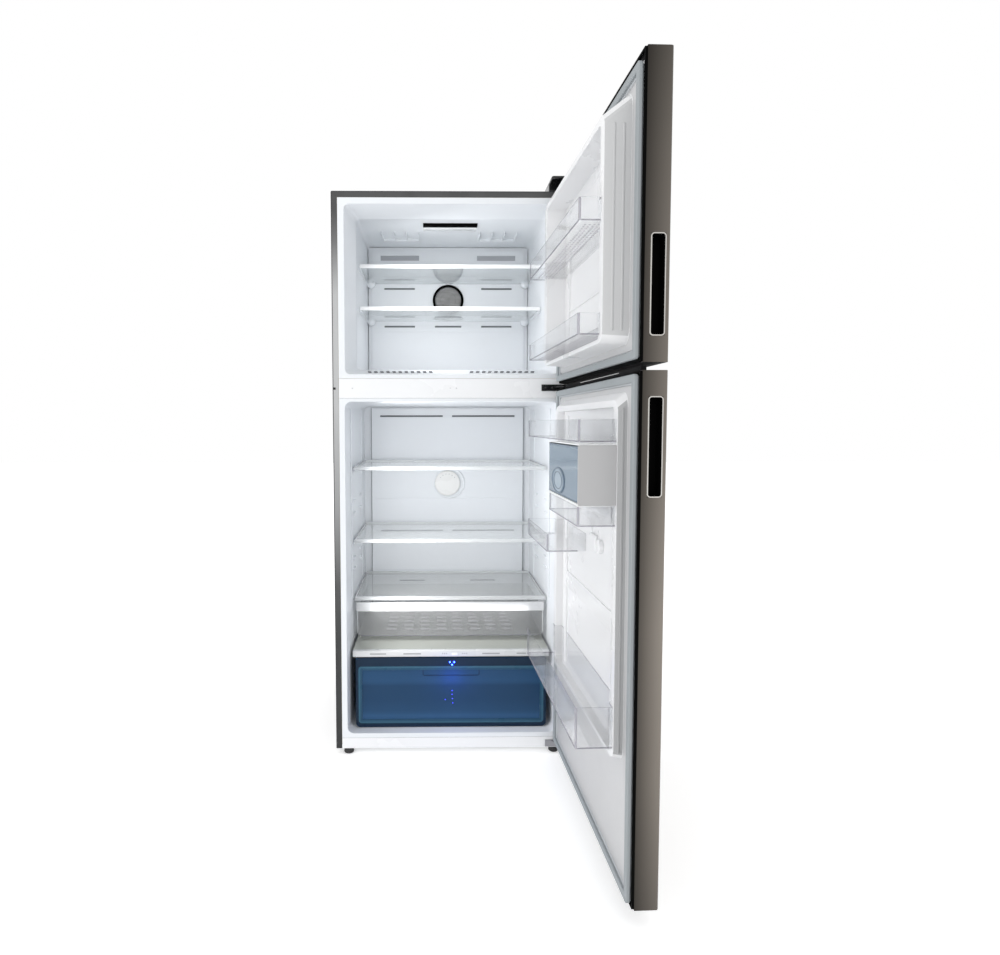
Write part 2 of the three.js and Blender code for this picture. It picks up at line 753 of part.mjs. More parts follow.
function refrigerantPipe() {
  const section = new THREE.Shape();
  section.absarc(0, 0, pipe.radius, 0, 2 * Math.PI);
  const path = new THREE.CatmullRomCurve3(pipe.route.map((point) => new THREE.Vector3(...point)));
  const options = {
    steps: pipe.steps,
    extrudePath: path,
    bevelEnabled: false,
    curveSegments: CORNER_STEPS,
  };
  return solid(new THREE.ExtrudeGeometry(section, options));
}

// ---- hinges on the cabinet ----

function topHinge() {
  const { x: [x0, x1], y, rise, z } = topPlate;
  const { x: armX, tipX, tipY } = topArm;
  const base = cabinet.top + AIR;
  const arm = [z, z + hinge.arm];
  const plate = block([x0, x1], y, [base, base + hinge.arm]);
  const riser = block([armX, x1], [y[0] - rise, y[0]], [base, arm[1]]);
  const reach = prismZ(
    outline([
      [x1, y[0]],
      [armX, y[0]],
      [tipX, tipY],
      [x1, tipY],
    ]),
    arm,
  );
  const pin = rodZ(hinge.x, hinge.y, hinge.pin, [freezerDoor.high - hinge.sunk, arm[1]]);
  return joined(plate, riser, reach, pin);
}

function topHingeCover() {
  const { x, y: [y0, y1], behind, wall, round, top } = topCover;
  const inner = [x[0] + wall, x[1] - wall];
  const over = prismZ(roundRect(x, [y0, y1], round), [freezerDoor.high + 1, top]);
  const skirt = prismZ(roundRect(x, [behind, y1], round / 2), [cabinet.top + AIR, top]);
  const room = block(inner, [y0 + wall, y1 - wall], [freezerDoor.high, top - wall]);
  const roomBehind = block(inner, [behind + wall, y1 - wall], [cabinet.top, top - wall]);
  return cut(joined(over, skirt), room, roomBehind);
}

// A plate on the cabinet's front with an arm that carries a pin.
function hingePlate(plate, [pinLow, pinHigh]) {
  return joined(
    block([plate.x, hingeEnd], hinge.plate, plate.z),
    prismZ(outline(hingeArm), plate.arm),
    rodZ(hinge.x, hinge.y, hinge.pin, [pinLow, pinHigh]),
  );
}

function middleHinge() {
  return hingePlate(middlePlate, [fridgeDoor.high - hinge.sunk, freezerDoor.low + hinge.sunk]);
}

function bottomHinge() {
  return hingePlate(bottomPlate, [bottomPlate.arm[0], fridgeDoor.low + hinge.sunk]);
}

// ---- doors, drawn closed ----

function doorSkin(leaf) {
  const { half: reach, inner, outer, sheet, fold, corner } = door;
  const past = [leaf.low - PAST, leaf.high + PAST];
  const whole = prismZ(frontRounded([-reach, reach], [outer, inner], corner), [leaf.low, leaf.high]);
  const room = prismZ(
    frontRounded([sheet - reach, reach - sheet], [outer + sheet, inner - sheet], corner - sheet),
    past,
  );
  const back = block([fold - reach, reach - fold], [inner - 2 * sheet, inner + PAST], past);
  const window = block([-reach - PAST, PAST - reach], [pocket.front, pocket.back], leaf.grip);
  return cut(whole, room, back, window);
}

function doorCap([z0, z1]) {
  const { half: reach, inner, outer, sheet, corner } = door;
  const gap = sheet + AIR;
  const slab = prismZ(
    frontRounded([gap - reach, reach - gap], [outer + gap, inner - gap], corner - gap),
    [z0, z1],
  );
  return cut(slab, rodZ(hinge.x, hinge.y, hinge.bush, [z0 - PAST, z1 + PAST]));
}

function handlePocket([low, high]) {
  const { depth, front, back, wall } = pocket;
  const mouth = -door.half;
  const shell = block([mouth, mouth + depth], [front + AIR, back - AIR], [low + AIR, high - AIR]);
  const room = block(
    [mouth - PAST, mouth + depth - wall],
    [front + wall, back - wall],
    [low + wall, high - wall],
  );
  return cut(shell, room);
}

function doorSeal(leaf) {
  const { outer, width, neck, face, bulb } = seal;
  const { sealLow, sealHigh } = leaf;
  const fat = block([-outer, outer], [face - bulb, face], [sealLow, sealHigh]);
  const fatRoom = block(
    [width - outer, outer - width],
    [face - 2 * bulb, face + PAST],
    [sealLow + width, sealHigh - width],
  );
  const inset = (width - neck) / 2;
  const root = door.inner + AIR;
  const thin = block(
    [inset - outer, outer - inset],
    [root, face - bulb + 1],
    [sealLow + inset, sealHigh - inset],
  );
  const thinRoom = block(
    [inset + neck - outer, outer - inset - neck],
    [root - PAST, face + PAST],
    [sealLow + inset + neck, sealHigh - inset - neck],
  );
  return joined(cut(fat, fatRoom), cut(thin, thinRoom));
}

// The inner panel of a door: a sheet, a raised field inside the seal and a raised ring for the bins.
function doorLiner(leaf, shape, hooks) {
  const { sheet, half: reach, face, back, corner: fieldCorner } = panel;
  const { half: ringHalf, width, bar, wall, corner, innerCorner } = ring;
  const [ringLow, ringHigh] = shape.z;
  const edge = door.half - door.sheet - AIR;
  const inset = seal.width + seal.gap;
  const [f0, f1] = [leaf.sealLow + inset, leaf.sealHigh - inset];
  const base = block(
    [-edge, edge],
    [back, back + sheet],
    [leaf.low + door.cap + AIR, leaf.high - door.cap - AIR],
  );
  const field = ringBody([-reach, reach], [f0, f1], fieldCorner, [back, face]);
  const fieldRoom = ringBody(
    [sheet - reach, reach - sheet],
    [f0 + sheet, f1 - sheet],
    fieldCorner - sheet,
    [back - PAST, face - sheet],
  );
  const outerRing = ringBody([-ringHalf, ringHalf], [ringLow, ringHigh], corner, [back, shape.face]);
  const innerRing = ringBody(
    [width - ringHalf, ringHalf - width],
    [ringLow + bar, ringHigh - bar],
    innerCorner,
    [face, shape.face + PAST],
  );
  const hollowOut = ringBody(
    [wall - ringHalf, ringHalf - wall],
    [ringLow + wall, ringHigh - wall],
    corner - wall,
    [back - PAST, shape.face - wall],
  );
  const hollowIn = ringBody(
    [width - wall - ringHalf, ringHalf - width + wall],
    [ringLow + bar - wall, ringHigh - bar + wall],
    innerCorner + wall,
    [back - 2 * PAST, shape.face],
  );
  const hollow = joined(fieldRoom, cut(hollowOut, hollowIn));
  return joined(cut(joined(base, field, cut(outerRing, innerRing)), hollow), ...hooks);
}

function ringBody(xs, zs, radius, ys) {
  return prismY(roundRect(xs, zs, radius), ys);
}

// The stubs on the ring's inner sides that the bins rest on.
function hooksUnder(bins, ringFace) {
  const inner = ring.half - ring.width;
  const hooks = [];
  for (const { x, z: [z0] } of bins) {
    for (const [side, reach] of [[-1, x[0]], [1, x[1]]]) {
      if (Math.abs(reach) > inner) {
        const middle = side * (inner - ring.hookReach / 2);
        const ends = [middle - ring.hookReach / 2 - 1, middle + ring.hookReach / 2 + 1];
        hooks.push(block(ends, [panel.face - 1, ringFace - ring.wall], [z0 - ring.hook, z0 - AIR]));
      }
    }
  }
  return hooks;
}

// A bin that sits between the ring's sides and widens past them towards the food.
function binOutline([x0, x1], [back, neck, front], inset) {
  const inner = ring.half - ring.width - 2 * AIR;
  const left = Math.max(x0, -inner) + inset;
  const right = Math.min(x1, inner) - inset;
  const r = bin.corner - inset;
  const shape = new THREE.Shape();
  shape.moveTo(left, back + inset);
  shape.lineTo(right, back + inset);
  if (x1 > inner) {
    shape.lineTo(right, neck + inset);
    shape.lineTo(x1 - inset, neck + inset);
  }
  shape.absarc(x1 - inset - r, front - inset - r, r, 0, Math.PI / 2);
  shape.absarc(x0 + inset + r, front - inset - r, r, Math.PI / 2, Math.PI);
  if (x0 < -inner) {
    shape.lineTo(x0 + inset, neck + inset);
    shape.lineTo(left, neck + inset);
  }
  return shape;
}

function doorBin({ x, z: [z0, z1], depths, notch }) {
  const { wall } = bin;
  const tub = prismZ(binOutline(x, depths, 0), [z0, z1]);
  const room = prismZ(binOutline(x, depths, wall), [z0 + wall, z1 + PAST]);
  if (!notch) {
    return cut(tub, room);
  }
  const front = depths[2];
  const dip = block(notch.x, [front - 2 * PAST, front + PAST], [z1 - notch.drop, z1 + PAST]);
  return cut(tub, room, dip);
}

// A closed-sided box with its front open under a lid that swings up on two stub pins.
function chillBoxBody() {
  const { x, z: [z0, z1], wall, lidLow } = chillBox;
  const [back, neck, front] = fridgeDepths;
  const inner = [x[0] + wall, x[1] - wall];
  const shell = prismZ(binOutline(x, [back, neck, front], 0), [z0, z1]);
  const room = prismZ(binOutline(x, [back, neck, front + 2 * PAST], wall), [z0 + wall, z1 - wall]);
  const mouth = block(inner, [front - 2 * PAST, front + PAST], [lidLow - 1, z1 - wall]);
  const sill = block(inner, [front - wall, front], [z0, lidLow - 1]);
  const { y, z, pin, reach } = lidHinge;
  const pins = [
    rodX(y, z, pin, [x[0] + 1, inner[0] + reach]),
    rodX(y, z, pin, [inner[1] - reach, x[1] - 1]),
  ];
  return joined(cut(shell, room, mouth), sill, ...pins);
}

function chillBoxLid() {
  const { x, wall, lidSheet, lidLow, lidHigh } = chillBox;
  const ends = [x[0] + wall + AIR, x[1] - wall - AIR];
  const front = fridgeDepths[2];
  const { y, z, barrel, bush } = lidHinge;
  const sheet = block(ends, [front - lidSheet, front], [lidLow, lidHigh]);
  const tube = rodX(y, z, barrel, ends);
  const bore = rodX(y, z, bush, [ends[0] - PAST, ends[1] + PAST]);
  const knob = rodY(dial.x, dial.z, dial.radius, [front - 1, front + dial.proud]);
  return joined(cut(joined(sheet, tube), bore), knob);
}

// ---- assembly ----

function hungOnPin(pieces) {
  const closed = new THREE.Group();
  closed.add(...pieces);
  closed.position.set(-hinge.x, -hinge.y, 0);
  const swung = new THREE.Group();
  swung.add(closed);
  swung.position.set(hinge.x, hinge.y, 0);
  swung.rotation.z = openAngle;
  return swung;
}

function doorPieces(name, leaf, shape, bins) {
  const { low, high, grip } = leaf;
  const hooks = hooksUnder(bins, shape.face);
  return [
    mesh(`${name}_skin`, doorSkin(leaf), "stainless"),
    mesh(`${name}_top_cap`, doorCap([high - door.cap, high]), "blackPlastic"),
    mesh(`${name}_bottom_cap`, doorCap([low, low + door.cap]), "blackPlastic"),
    mesh(`${name}_liner`, doorLiner(leaf, shape, hooks), "white"),
    mesh(`${name}_gasket`, doorSeal(leaf), "gasket"),
    mesh(`${name}_handle_pocket`, handlePocket(grip), "blackPlastic"),
    ...bins.map((tub) => mesh(tub.name, doorBin(tub), "clear")),
  ];
}

function freezerDoorGroup() {
  return hungOnPin(doorPieces("freezer_door", freezerDoor, freezerRing, freezerBins));
}

function fridgeDoorGroup() {
  return hungOnPin([
    ...doorPieces("fridge_door", fridgeDoor, fridgeRing, fridgeBins),
    mesh("chill_box", chillBoxBody(), "boxGrey"),
    mesh("chill_box_lid", chillBoxLid(), "tintedBlue"),
  ]);
}

function cabinetPieces() {
  return [
    mesh("outer_case", outerCase(), "caseGrey"),
    mesh("back_panel", backPanel(), "galvanised"),
    mesh("compressor_bay_cover", bayCover(), "galvanised"),
    mesh("base_pan", basePan(), "galvanised"),
    mesh("bottom_rail", bottomRail(), "whiteSteel"),
    mesh("mullion_cover", mullionCover(), "whiteSteel"),
    mesh("freezer_liner", freezerLiner(), "white"),
    mesh("fridge_liner", fridgeLiner(), "white"),
    mesh("cabinet_foam", cabinetFoam(), "foam"),
    mesh("top_hinge", topHinge(), "zinc"),
    mesh("top_hinge_cover", topHingeCover(), "blackPlastic"),
    mesh("middle_hinge", middleHinge(), "blackPlastic"),
    mesh("bottom_hinge", bottomHinge(), "zinc"),
    mesh("compressor", compressorShell(), "compressorBlack"),
    mesh("refrigerant_pipe", refrigerantPipe(), "copper"),
    mesh("freezer_back_cover", freezerBackCover(), "white"),
    mesh("fan_cap", fanCap(), "steelCap"),
    mesh("fan_blade", fanBlade(), "white"),
    mesh("fan_motor", fanMotor(), "zinc"),
    mesh("evaporator", evaporator(), "aluminium"),
    mesh("freezer_lamp", freezerLamp(), "blackPlastic"),
    mesh("fridge_air_duct", fridgeAirDuct(), "white"),
    mesh("filter_cap", filterCap(), "white"),
    mesh("chiller_tray", chillerTray(), "clear"),
    mesh("crisper_lid_frame", crisperLidFrame(), "white"),
    mesh("crisper_lid_glass", crisperLidGlass(), "glass"),
    mesh("humidity_slider", humiditySlider(), "white"),
    mesh("crisper_drawer", crisperDrawer(), "crisperBlue"),
  ];
}

function repeatedPieces() {
  const pieces = [];
  const levels = ["top", "middle", "lower"];
  freezerShelf.tops.forEach((top, i) => {
    pieces.push(mesh(`freezer_shelf_${["upper", "lower"][i]}`, freezerShelfPlate(top), "clear"));
  });
  fridgeShelf.tops.forEach((top, i) => {
    pieces.push(mesh(`fridge_shelf_${levels[i]}_frame`, shelfFrame(top), "white"));
    pieces.push(mesh(`fridge_shelf_${levels[i]}_glass`, shelfGlass(top), "glass"));
  });
  for (const [side, sign] of [["left", -1], ["right", 1]]) {
    pieces.push(mesh(`front_foot_${side}`, frontFoot(sign * foot.x), "rubber"));
    pieces.push(mesh(`rear_roller_${side}`, rearRoller(sign * roller.x), "rubber"));
  }
  return pieces;
}

const refrigerator = new THREE.Group();
refrigerator.add(...cabinetPieces(), ...repeatedPieces(), freezerDoorGroup(), fridgeDoorGroup());

const bounds = new THREE.Box3().setFromObject(refrigerator, true);
const middle = bounds.getCenter(new THREE.Vector3());
refrigerator.position.set(-middle.x, -middle.y, -bounds.min.z);

export default refrigerator;
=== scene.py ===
"""The looks of a two-door top freezer refrigerator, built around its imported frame.

Every piece is drawn in millimetres on the cabinet's own axes: x from its middle plane, y from its
front plane into its depth, z from the floor. Door pieces are drawn with the door shut. One matrix
then puts a piece where the frame has it.
"""

import json
import logging
import math
from dataclasses import dataclass, replace
from enum import Enum

import bmesh
import bpy
from mathutils import Matrix, Vector


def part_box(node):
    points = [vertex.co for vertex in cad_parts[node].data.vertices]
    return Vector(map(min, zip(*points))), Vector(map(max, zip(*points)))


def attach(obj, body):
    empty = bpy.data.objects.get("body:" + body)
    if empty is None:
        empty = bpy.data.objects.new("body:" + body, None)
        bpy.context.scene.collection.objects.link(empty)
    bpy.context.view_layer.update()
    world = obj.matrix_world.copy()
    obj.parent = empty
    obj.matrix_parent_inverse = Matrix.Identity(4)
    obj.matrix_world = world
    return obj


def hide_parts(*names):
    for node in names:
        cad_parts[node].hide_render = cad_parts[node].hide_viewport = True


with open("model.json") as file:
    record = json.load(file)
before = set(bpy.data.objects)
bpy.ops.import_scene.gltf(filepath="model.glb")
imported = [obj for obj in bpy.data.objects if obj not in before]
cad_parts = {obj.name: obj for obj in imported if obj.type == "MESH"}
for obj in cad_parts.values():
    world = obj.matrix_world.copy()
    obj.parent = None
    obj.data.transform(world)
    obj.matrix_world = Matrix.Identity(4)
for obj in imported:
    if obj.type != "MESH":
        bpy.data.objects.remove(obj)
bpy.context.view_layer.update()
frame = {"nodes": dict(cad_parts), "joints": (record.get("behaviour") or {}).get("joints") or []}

LOG = logging.getLogger("refrigerator")
MM = 0.001
CORNER_STEPS = 6  # steps in a rounded corner
ROUND_SIDES = 48  # sides of a round piece
SHARP = math.radians(32)  # edges turned more than this are eased
CREASE = math.radians(15.6)  # edges turned more than this shade as creases
WELD = 0.01  # mm within which corners are one

Pair = tuple[float, float]
Point = tuple[float, float, float]


# ---- bench tools: closed solids in millimetres ----


class Axis(Enum):
    """The axis that a section lies across, with the two directions in its plane."""

    X = ((0, 1, 0), (0, 0, 1), (1, 0, 0))
    Y = ((1, 0, 0), (0, 0, 1), (0, 1, 0))
    Z = ((1, 0, 0), (0, 1, 0), (0, 0, 1))

    def matrix(self, size: Pair, middle: Point) -> Matrix:
        """Gives the matrix that carries a unit square onto a section.

        Args:
            size: the section's two sizes in its plane.
            middle: the middle of the section in its plane, and its place along the axis.

        Returns:
            The matrix.
        """
        across, up, along = (Vector(v) for v in self.value)
        place = across * middle[0] + up * middle[1] + along * middle[2]
        turned = Matrix((across * size[0], up * size[1], along)).transposed()
        return Matrix.Translation(place) @ turned.to_4x4()

    def point(self, a: float, b: float, along: float) -> Vector:
        """Gives the point at a and b in the section's plane and at along on the axis."""
        across, up, way = (Vector(v) for v in self.value)
        return across * a + up * b + way * along


@dataclass(frozen=True)
class Rect:
    """A rounded rectangle across an axis: its two spans, its corner radius and its place."""

    a: Pair
    b: Pair
    radius: float
    at: float

    def grown(self, by: float, along: float = 0.0) -> "Rect":
        """Gives the rectangle pushed out by a distance and moved along its axis.

        Args:
            by: how far every side moves outwards.
            along: how far the rectangle moves along its axis.

        Returns:
            The new rectangle.
        """
        a = (self.a[0] - by, self.a[1] + by)
        b = (self.b[0] - by, self.b[1] + by)
        return Rect(a, b, max(self.radius + by, 0.2), self.at + along)


def centred(half: float, b: Pair, radius: float, at: float) -> Rect:
    """Gives a rounded rectangle that reaches as far on both sides of the middle plane."""
    return Rect((-half, half), b, radius, at)


def corners_of(bm: bmesh.types.BMesh, axis: Axis, rect: Rect) -> list[bmesh.types.BMVert]:
    """Draws the corners of a rounded rectangle.

    Args:
        bm: the mesh to draw in.
        axis: the axis that the rectangle lies across.
        rect: the rectangle.

    Returns:
        Its corners, in order round it.
    """
    size = (rect.a[1] - rect.a[0], rect.b[1] - rect.b[0])
    middle = (sum(rect.a) / 2, sum(rect.b) / 2, rect.at)
    spot = axis.matrix(size, middle)
    corners = bmesh.ops.create_grid(bm, x_segments=1, y_segments=1, size=0.5, matrix=spot)["verts"]
    rounded = bmesh.ops.bevel(
        bm, geom=corners, offset=max(rect.radius, 0.2), segments=CORNER_STEPS, profile=0.5,
        affect="VERTICES", material=-1,
    )
    face = rounded["verts"][0].link_faces[0]
    loop = list(face.verts)
    bmesh.ops.delete(bm, geom=[face], context="FACES_ONLY")
    return loop


def lofted(axis: Axis, rects: list[Rect], ring: bool = False) -> bmesh.types.BMesh:
    """Makes a solid that runs through rounded rectangles in turn.

    Args:
        axis: the axis that the rectangles lie across.
        rects: the rectangles, in order over the skin of the solid.
        ring: whether the last one joins the first, in place of a face at each end.

    Returns:
        The solid.
    """
    bm = bmesh.new()
    loops = [corners_of(bm, axis, rect) for rect in rects]
    pairs = list(zip(loops, loops[1:]))
    if ring:
        pairs.append((loops[-1], loops[0]))
    else:
        bm.faces.new(loops[0])
        bm.faces.new(loops[-1])
    for first, second in pairs:
        for i in range(len(first)):
            bm.faces.new((first[i - 1], first[i], second[i], second[i - 1]))
    return bm


def block(x: Pair, y: Pair, z: Pair) -> bmesh.types.BMesh:
    """Makes a box from its three spans."""
    bm = bmesh.new()
    size = Matrix.Diagonal((x[1] - x[0], y[1] - y[0], z[1] - z[0], 1))
    middle = Matrix.Translation((sum(x) / 2, sum(y) / 2, sum(z) / 2))
    bmesh.ops.create_cube(bm, size=1, matrix=middle @ size)
    return bm


def prism(axis: Axis, points: list[Pair], span: Pair,
          rounds: dict[int, float] | None = None) -> bmesh.types.BMesh:
    """Makes a straight solid from an outline.

    Args:
        axis: the axis that it runs along.
        points: the outline's corners in the plane across the axis.
        span: where it starts and ends along the axis.
        rounds: the radius of each corner that is rounded, by its place in points.

    Returns:
        The solid.
    """
    bm = bmesh.new()
    corners = [bm.verts.new(axis.point(a, b, span[0])) for a, b in points]
    bm.faces.new(corners)
    for index, radius in (rounds or {}).items():
        bmesh.ops.bevel(
            bm, geom=[corners[index]], offset=radius, segments=CORNER_STEPS, profile=0.5,
            affect="VERTICES", material=-1,
        )
    far = bmesh.ops.extrude_face_region(bm, geom=list(bm.faces), use_keep_orig=True)["geom"]
    moved = [v for v in far if isinstance(v, bmesh.types.BMVert)]
    bmesh.ops.translate(bm, verts=moved, vec=axis.point(0, 0, span[1] - span[0]))
    return bm


def hollowed(bm: bmesh.types.BMesh, way: Vector, wall: float, floor: float) -> bmesh.types.BMesh:
    """Hollows a straight solid from the face that looks one way, which leaves a cup.

    Args:
        bm: the solid.
        way: the direction that the cup opens towards.
        wall: the thickness of its sides.
        floor: the thickness of its floor.

    Returns:
        The same mesh, hollowed.
    """
    bmesh.ops.recalc_face_normals(bm, faces=list(bm.faces))
    mouth = [face for face in bm.faces if face.normal.dot(way) > 0.99]
    reach = [v.co.dot(way) for v in bm.verts]
    bmesh.ops.inset_region(bm, faces=mouth, thickness=wall, use_even_offset=True)
    depth = max(reach) - min(reach) - floor
    bmesh.ops.inset_region(bm, faces=mouth, thickness=0.01, depth=-depth, use_even_offset=True)
    return bm


def turned(axis: Axis, centre: Point, profile: list[Pair], sides: int = ROUND_SIDES) -> bmesh.types.BMesh:
    """Turns a profile round an axis.

    Args:
        axis: the axis that it is turned round.
        centre: a point on the axis.
        profile: radius and height of each corner, from the axis round to the axis or to the start.
        sides: how many sides the round has.

    Returns:
        The solid.
    """
    bm = bmesh.new()
    corners = [bm.verts.new(axis.point(radius, 0, height)) for radius, height in profile]
    edges = [bm.edges.new(pair) for pair in zip(corners, corners[1:])]
    if profile[0][0] > 0:
        edges.append(bm.edges.new((corners[-1], corners[0])))
    bmesh.ops.spin(
        bm, geom=corners + edges, axis=axis.point(0, 0, 1), cent=(0, 0, 0), steps=sides,
        angle=math.tau, use_merge=True,
    )
    bmesh.ops.translate(bm, verts=list(bm.verts), vec=centre)
    return bm


def rod(axis: Axis, centre: Point, radius: float, length: float, sides: int = 24) -> bmesh.types.BMesh:
    """Makes a round bar that starts at centre and runs along an axis."""
    return turned(axis, centre, [(0, 0), (radius, 0), (radius, length), (0, length)], sides)


def between(bm: bmesh.types.BMesh, low: Point, high: Point) -> list[bmesh.types.BMFace]:
    """Gives the faces whose middles lie in a box."""
    found = []
    for face in bm.faces:
        middle = face.calc_center_median()
        if all(l < m < h for l, m, h in zip(low, middle, high)):
            found.append(face)
    return found


def scored(bm: bmesh.types.BMesh, low: Point, high: Point) -> list[bmesh.types.BMFace]:
    """Cuts edges into a solid along the sides of a box that are finite.

    Args:
        bm: the solid.
        low: the box's low corner; a side at minus infinity isn't cut.
        high: the box's high corner; a side at infinity isn't cut.

    Returns:
        The faces inside the box.
    """
    for corner in (low, high):
        for i, value in enumerate(corner):
            if math.isfinite(value):
                normal = Vector([float(i == k) for k in range(3)])
                geom = list(bm.verts) + list(bm.edges) + list(bm.faces)
                bmesh.ops.bisect_plane(bm, geom=geom, dist=WELD, plane_co=normal * value, plane_no=normal)
    return between(bm, low, high)


def recess(bm: bmesh.types.BMesh, x: Pair, z: Pair, front: float, depth: float) -> list[bmesh.types.BMFace]:
    """Sinks a pocket into the front of a plate.

    Args:
        bm: the plate.
        x: the pocket's span across.
        z: the pocket's span upwards.
        front: where the plate's front is in its depth.
        depth: how deep the pocket is; below zero it stands proud instead.

    Returns:
        The faces of the pocket's floor.
    """
    bmesh.ops.recalc_face_normals(bm, faces=list(bm.faces))
    mouth = scored(bm, (x[0], -math.inf, z[0]), (x[1], math.inf, z[1]))
    mouth = [face for face in mouth if abs(face.calc_center_median().y - front) < 0.05]
    bmesh.ops.inset_region(bm, faces=mouth, thickness=0.5, depth=-depth, use_even_offset=True)
    return mouth


def eased(bm: bmesh.types.BMesh, width: float, steps: int = 2) -> bmesh.types.BMesh:
    """Welds a solid, turns its faces outwards and bevels its sharp edges.

    Args:
        bm: the solid.
        width: how far the edges are bevelled, or zero to leave them.
        steps: the steps in each bevel.

    Returns:
        The same mesh.
    """
    bmesh.ops.remove_doubles(bm, verts=list(bm.verts), dist=WELD)
    bmesh.ops.recalc_face_normals(bm, faces=list(bm.faces))
    edges = [e for e in bm.edges if len(e.link_faces) == 2 and e.calc_face_angle(0) > SHARP]
    if width and edges:
        bmesh.ops.bevel(
            bm, geom=edges, offset=width, segments=steps, profile=0.5, affect="EDGES",
            material=-1, clamp_overlap=True,
        )
    return bm


class Piece:
    """A named piece of the visual model, gathered from solids in millimetres."""

    def __init__(self, name: str, axes: Matrix) -> None:
        """Starts an empty piece.

        Args:
            name: the piece's name.
            axes: the matrix from the piece's millimetres to the row frame.
        """
        self.name = name
        self.axes = axes
        self.bm = bmesh.new()

    def add(self, bm: bmesh.types.BMesh, ease: float = 0.0, paint: int = 0, steps: int = 2,
            at: list[Point] | None = None) -> None:
        """Takes a solid into the piece.

        Args:
            bm: the solid, which is used up.
            ease: how far its sharp edges are bevelled.
            paint: which of the piece's finishes it has; below zero its faces keep their own.
            steps: the steps in each bevel.
            at: the offsets at which it is repeated, or none for one copy where it is.
        """
        eased(bm, ease, steps)
        if paint >= 0:
            for face in bm.faces:
                face.material_index = paint
        mesh = bpy.data.meshes.new("solid")
        bm.to_mesh(mesh)
        bm.free()
        for offset in at or [(0, 0, 0)]:
            mesh.transform(Matrix.Translation(offset))
            self.bm.from_mesh(mesh)
            mesh.transform(Matrix.Translation(-Vector(offset)))
        bpy.data.meshes.remove(mesh)

    def place(self, body: str, finishes: list["Finish"],
              replaces: tuple[str, ...] = ()) -> bpy.types.Object:
        """Puts the piece in the scene, on its body.

        Args:
            body: the CAD body that it rides on.
            finishes: its finishes, one for each material index of its faces.
            replaces: the CAD nodes that it stands for.

        Returns:
            The piece's object.
        """
        mesh = bpy.data.meshes.new(self.name)
        bmesh.ops.transform(self.bm, matrix=self.axes, verts=list(self.bm.verts))
        self.bm.to_mesh(mesh)
        self.bm.free()
        mesh.shade_smooth()
        mesh.set_sharp_from_angle(angle=CREASE)
        for finish in finishes:
            mesh.materials.append(finish.material())
        piece = bpy.data.objects.new(self.name, mesh)
        bpy.context.scene.collection.objects.link(piece)
        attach(piece, body)
        if replaces:
            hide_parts(*replaces)
        LOG.info("%s rides on %s with %d faces", self.name, body, len(mesh.polygons))
        return piece


# ---- finishes ----


def grain_group() -> bpy.types.NodeTree:
    """Builds the shared grain: a fine height and a broad shade that vary over a surface.

    Returns:
        The node group, with inputs Vector, Fine and Broad and outputs Height and Shade.
    """
    tree = bpy.data.node_groups.get("surface_grain")
    if tree:
        return tree
    tree = bpy.data.node_groups.new("surface_grain", "ShaderNodeTree")
    tree.interface.new_socket("Vector", in_out="INPUT", socket_type="NodeSocketVector")
    for name in ("Fine", "Broad"):
        tree.interface.new_socket(name, in_out="INPUT", socket_type="NodeSocketFloat")
    for name in ("Height", "Shade"):
        tree.interface.new_socket(name, in_out="OUTPUT", socket_type="NodeSocketFloat")
    source = tree.nodes.new("NodeGroupInput")
    result = tree.nodes.new("NodeGroupOutput")
    for scale, detail, output in (("Fine", 3.0, "Height"), ("Broad", 4.0, "Shade")):
        noise = tree.nodes.new("ShaderNodeTexNoise")
        noise.inputs["Detail"].default_value = detail
        tree.links.new(source.outputs["Vector"], noise.inputs["Vector"])
        tree.links.new(source.outputs[scale], noise.inputs["Scale"])
        tree.links.new(noise.outputs["Fac"], result.inputs[output])
    return tree


def dust_group() -> bpy.types.NodeTree:
    """Builds the shared dust: a mask that is thickest on faces that look up.

    Returns:
        The node group, with inputs Vector and Amount and the output Mask.
    """
    tree = bpy.data.node_groups.get("settled_dust")
    if tree:
        return tree
    tree = bpy.data.node_groups.new("settled_dust", "ShaderNodeTree")
    tree.interface.new_socket("Vector", in_out="INPUT", socket_type="NodeSocketVector")
    tree.interface.new_socket("Amount", in_out="INPUT", socket_type="NodeSocketFloat")
    tree.interface.new_socket("Mask", in_out="OUTPUT", socket_type="NodeSocketFloat")
    source = tree.nodes.new("NodeGroupInput")
    result = tree.nodes.new("NodeGroupOutput")
    noise = tree.nodes.new("ShaderNodeTexNoise")
    noise.inputs["Scale"].default_value = 14.0
    noise.inputs["Detail"].default_value = 5.0
    facing = tree.nodes.new("ShaderNodeNewGeometry")
    split = tree.nodes.new("ShaderNodeSeparateXYZ")
    level = tree.nodes.new("ShaderNodeMapRange")
    level.inputs["From Min"].default_value = -0.2
    level.inputs["To Min"].default_value = 0.15
    by_noise = tree.nodes.new("ShaderNodeMath")
    by_noise.operation = "MULTIPLY"
    by_amount = tree.nodes.new("ShaderNodeMath")
    by_amount.operation = "MULTIPLY"
    tree.links.new(source.outputs["Vector"], noise.inputs["Vector"])
    tree.links.new(facing.outputs["Normal"], split.inputs["Vector"])
    tree.links.new(split.outputs["Z"], level.inputs["Value"])
    tree.links.new(level.outputs["Result"], by_noise.inputs[0])
    tree.links.new(noise.outputs["Fac"], by_noise.inputs[1])
    tree.links.new(by_noise.outputs["Value"], by_amount.inputs[0])
    tree.links.new(source.outputs["Amount"], by_amount.inputs[1])
    tree.links.new(by_amount.outputs["Value"], result.inputs["Mask"])
    return tree


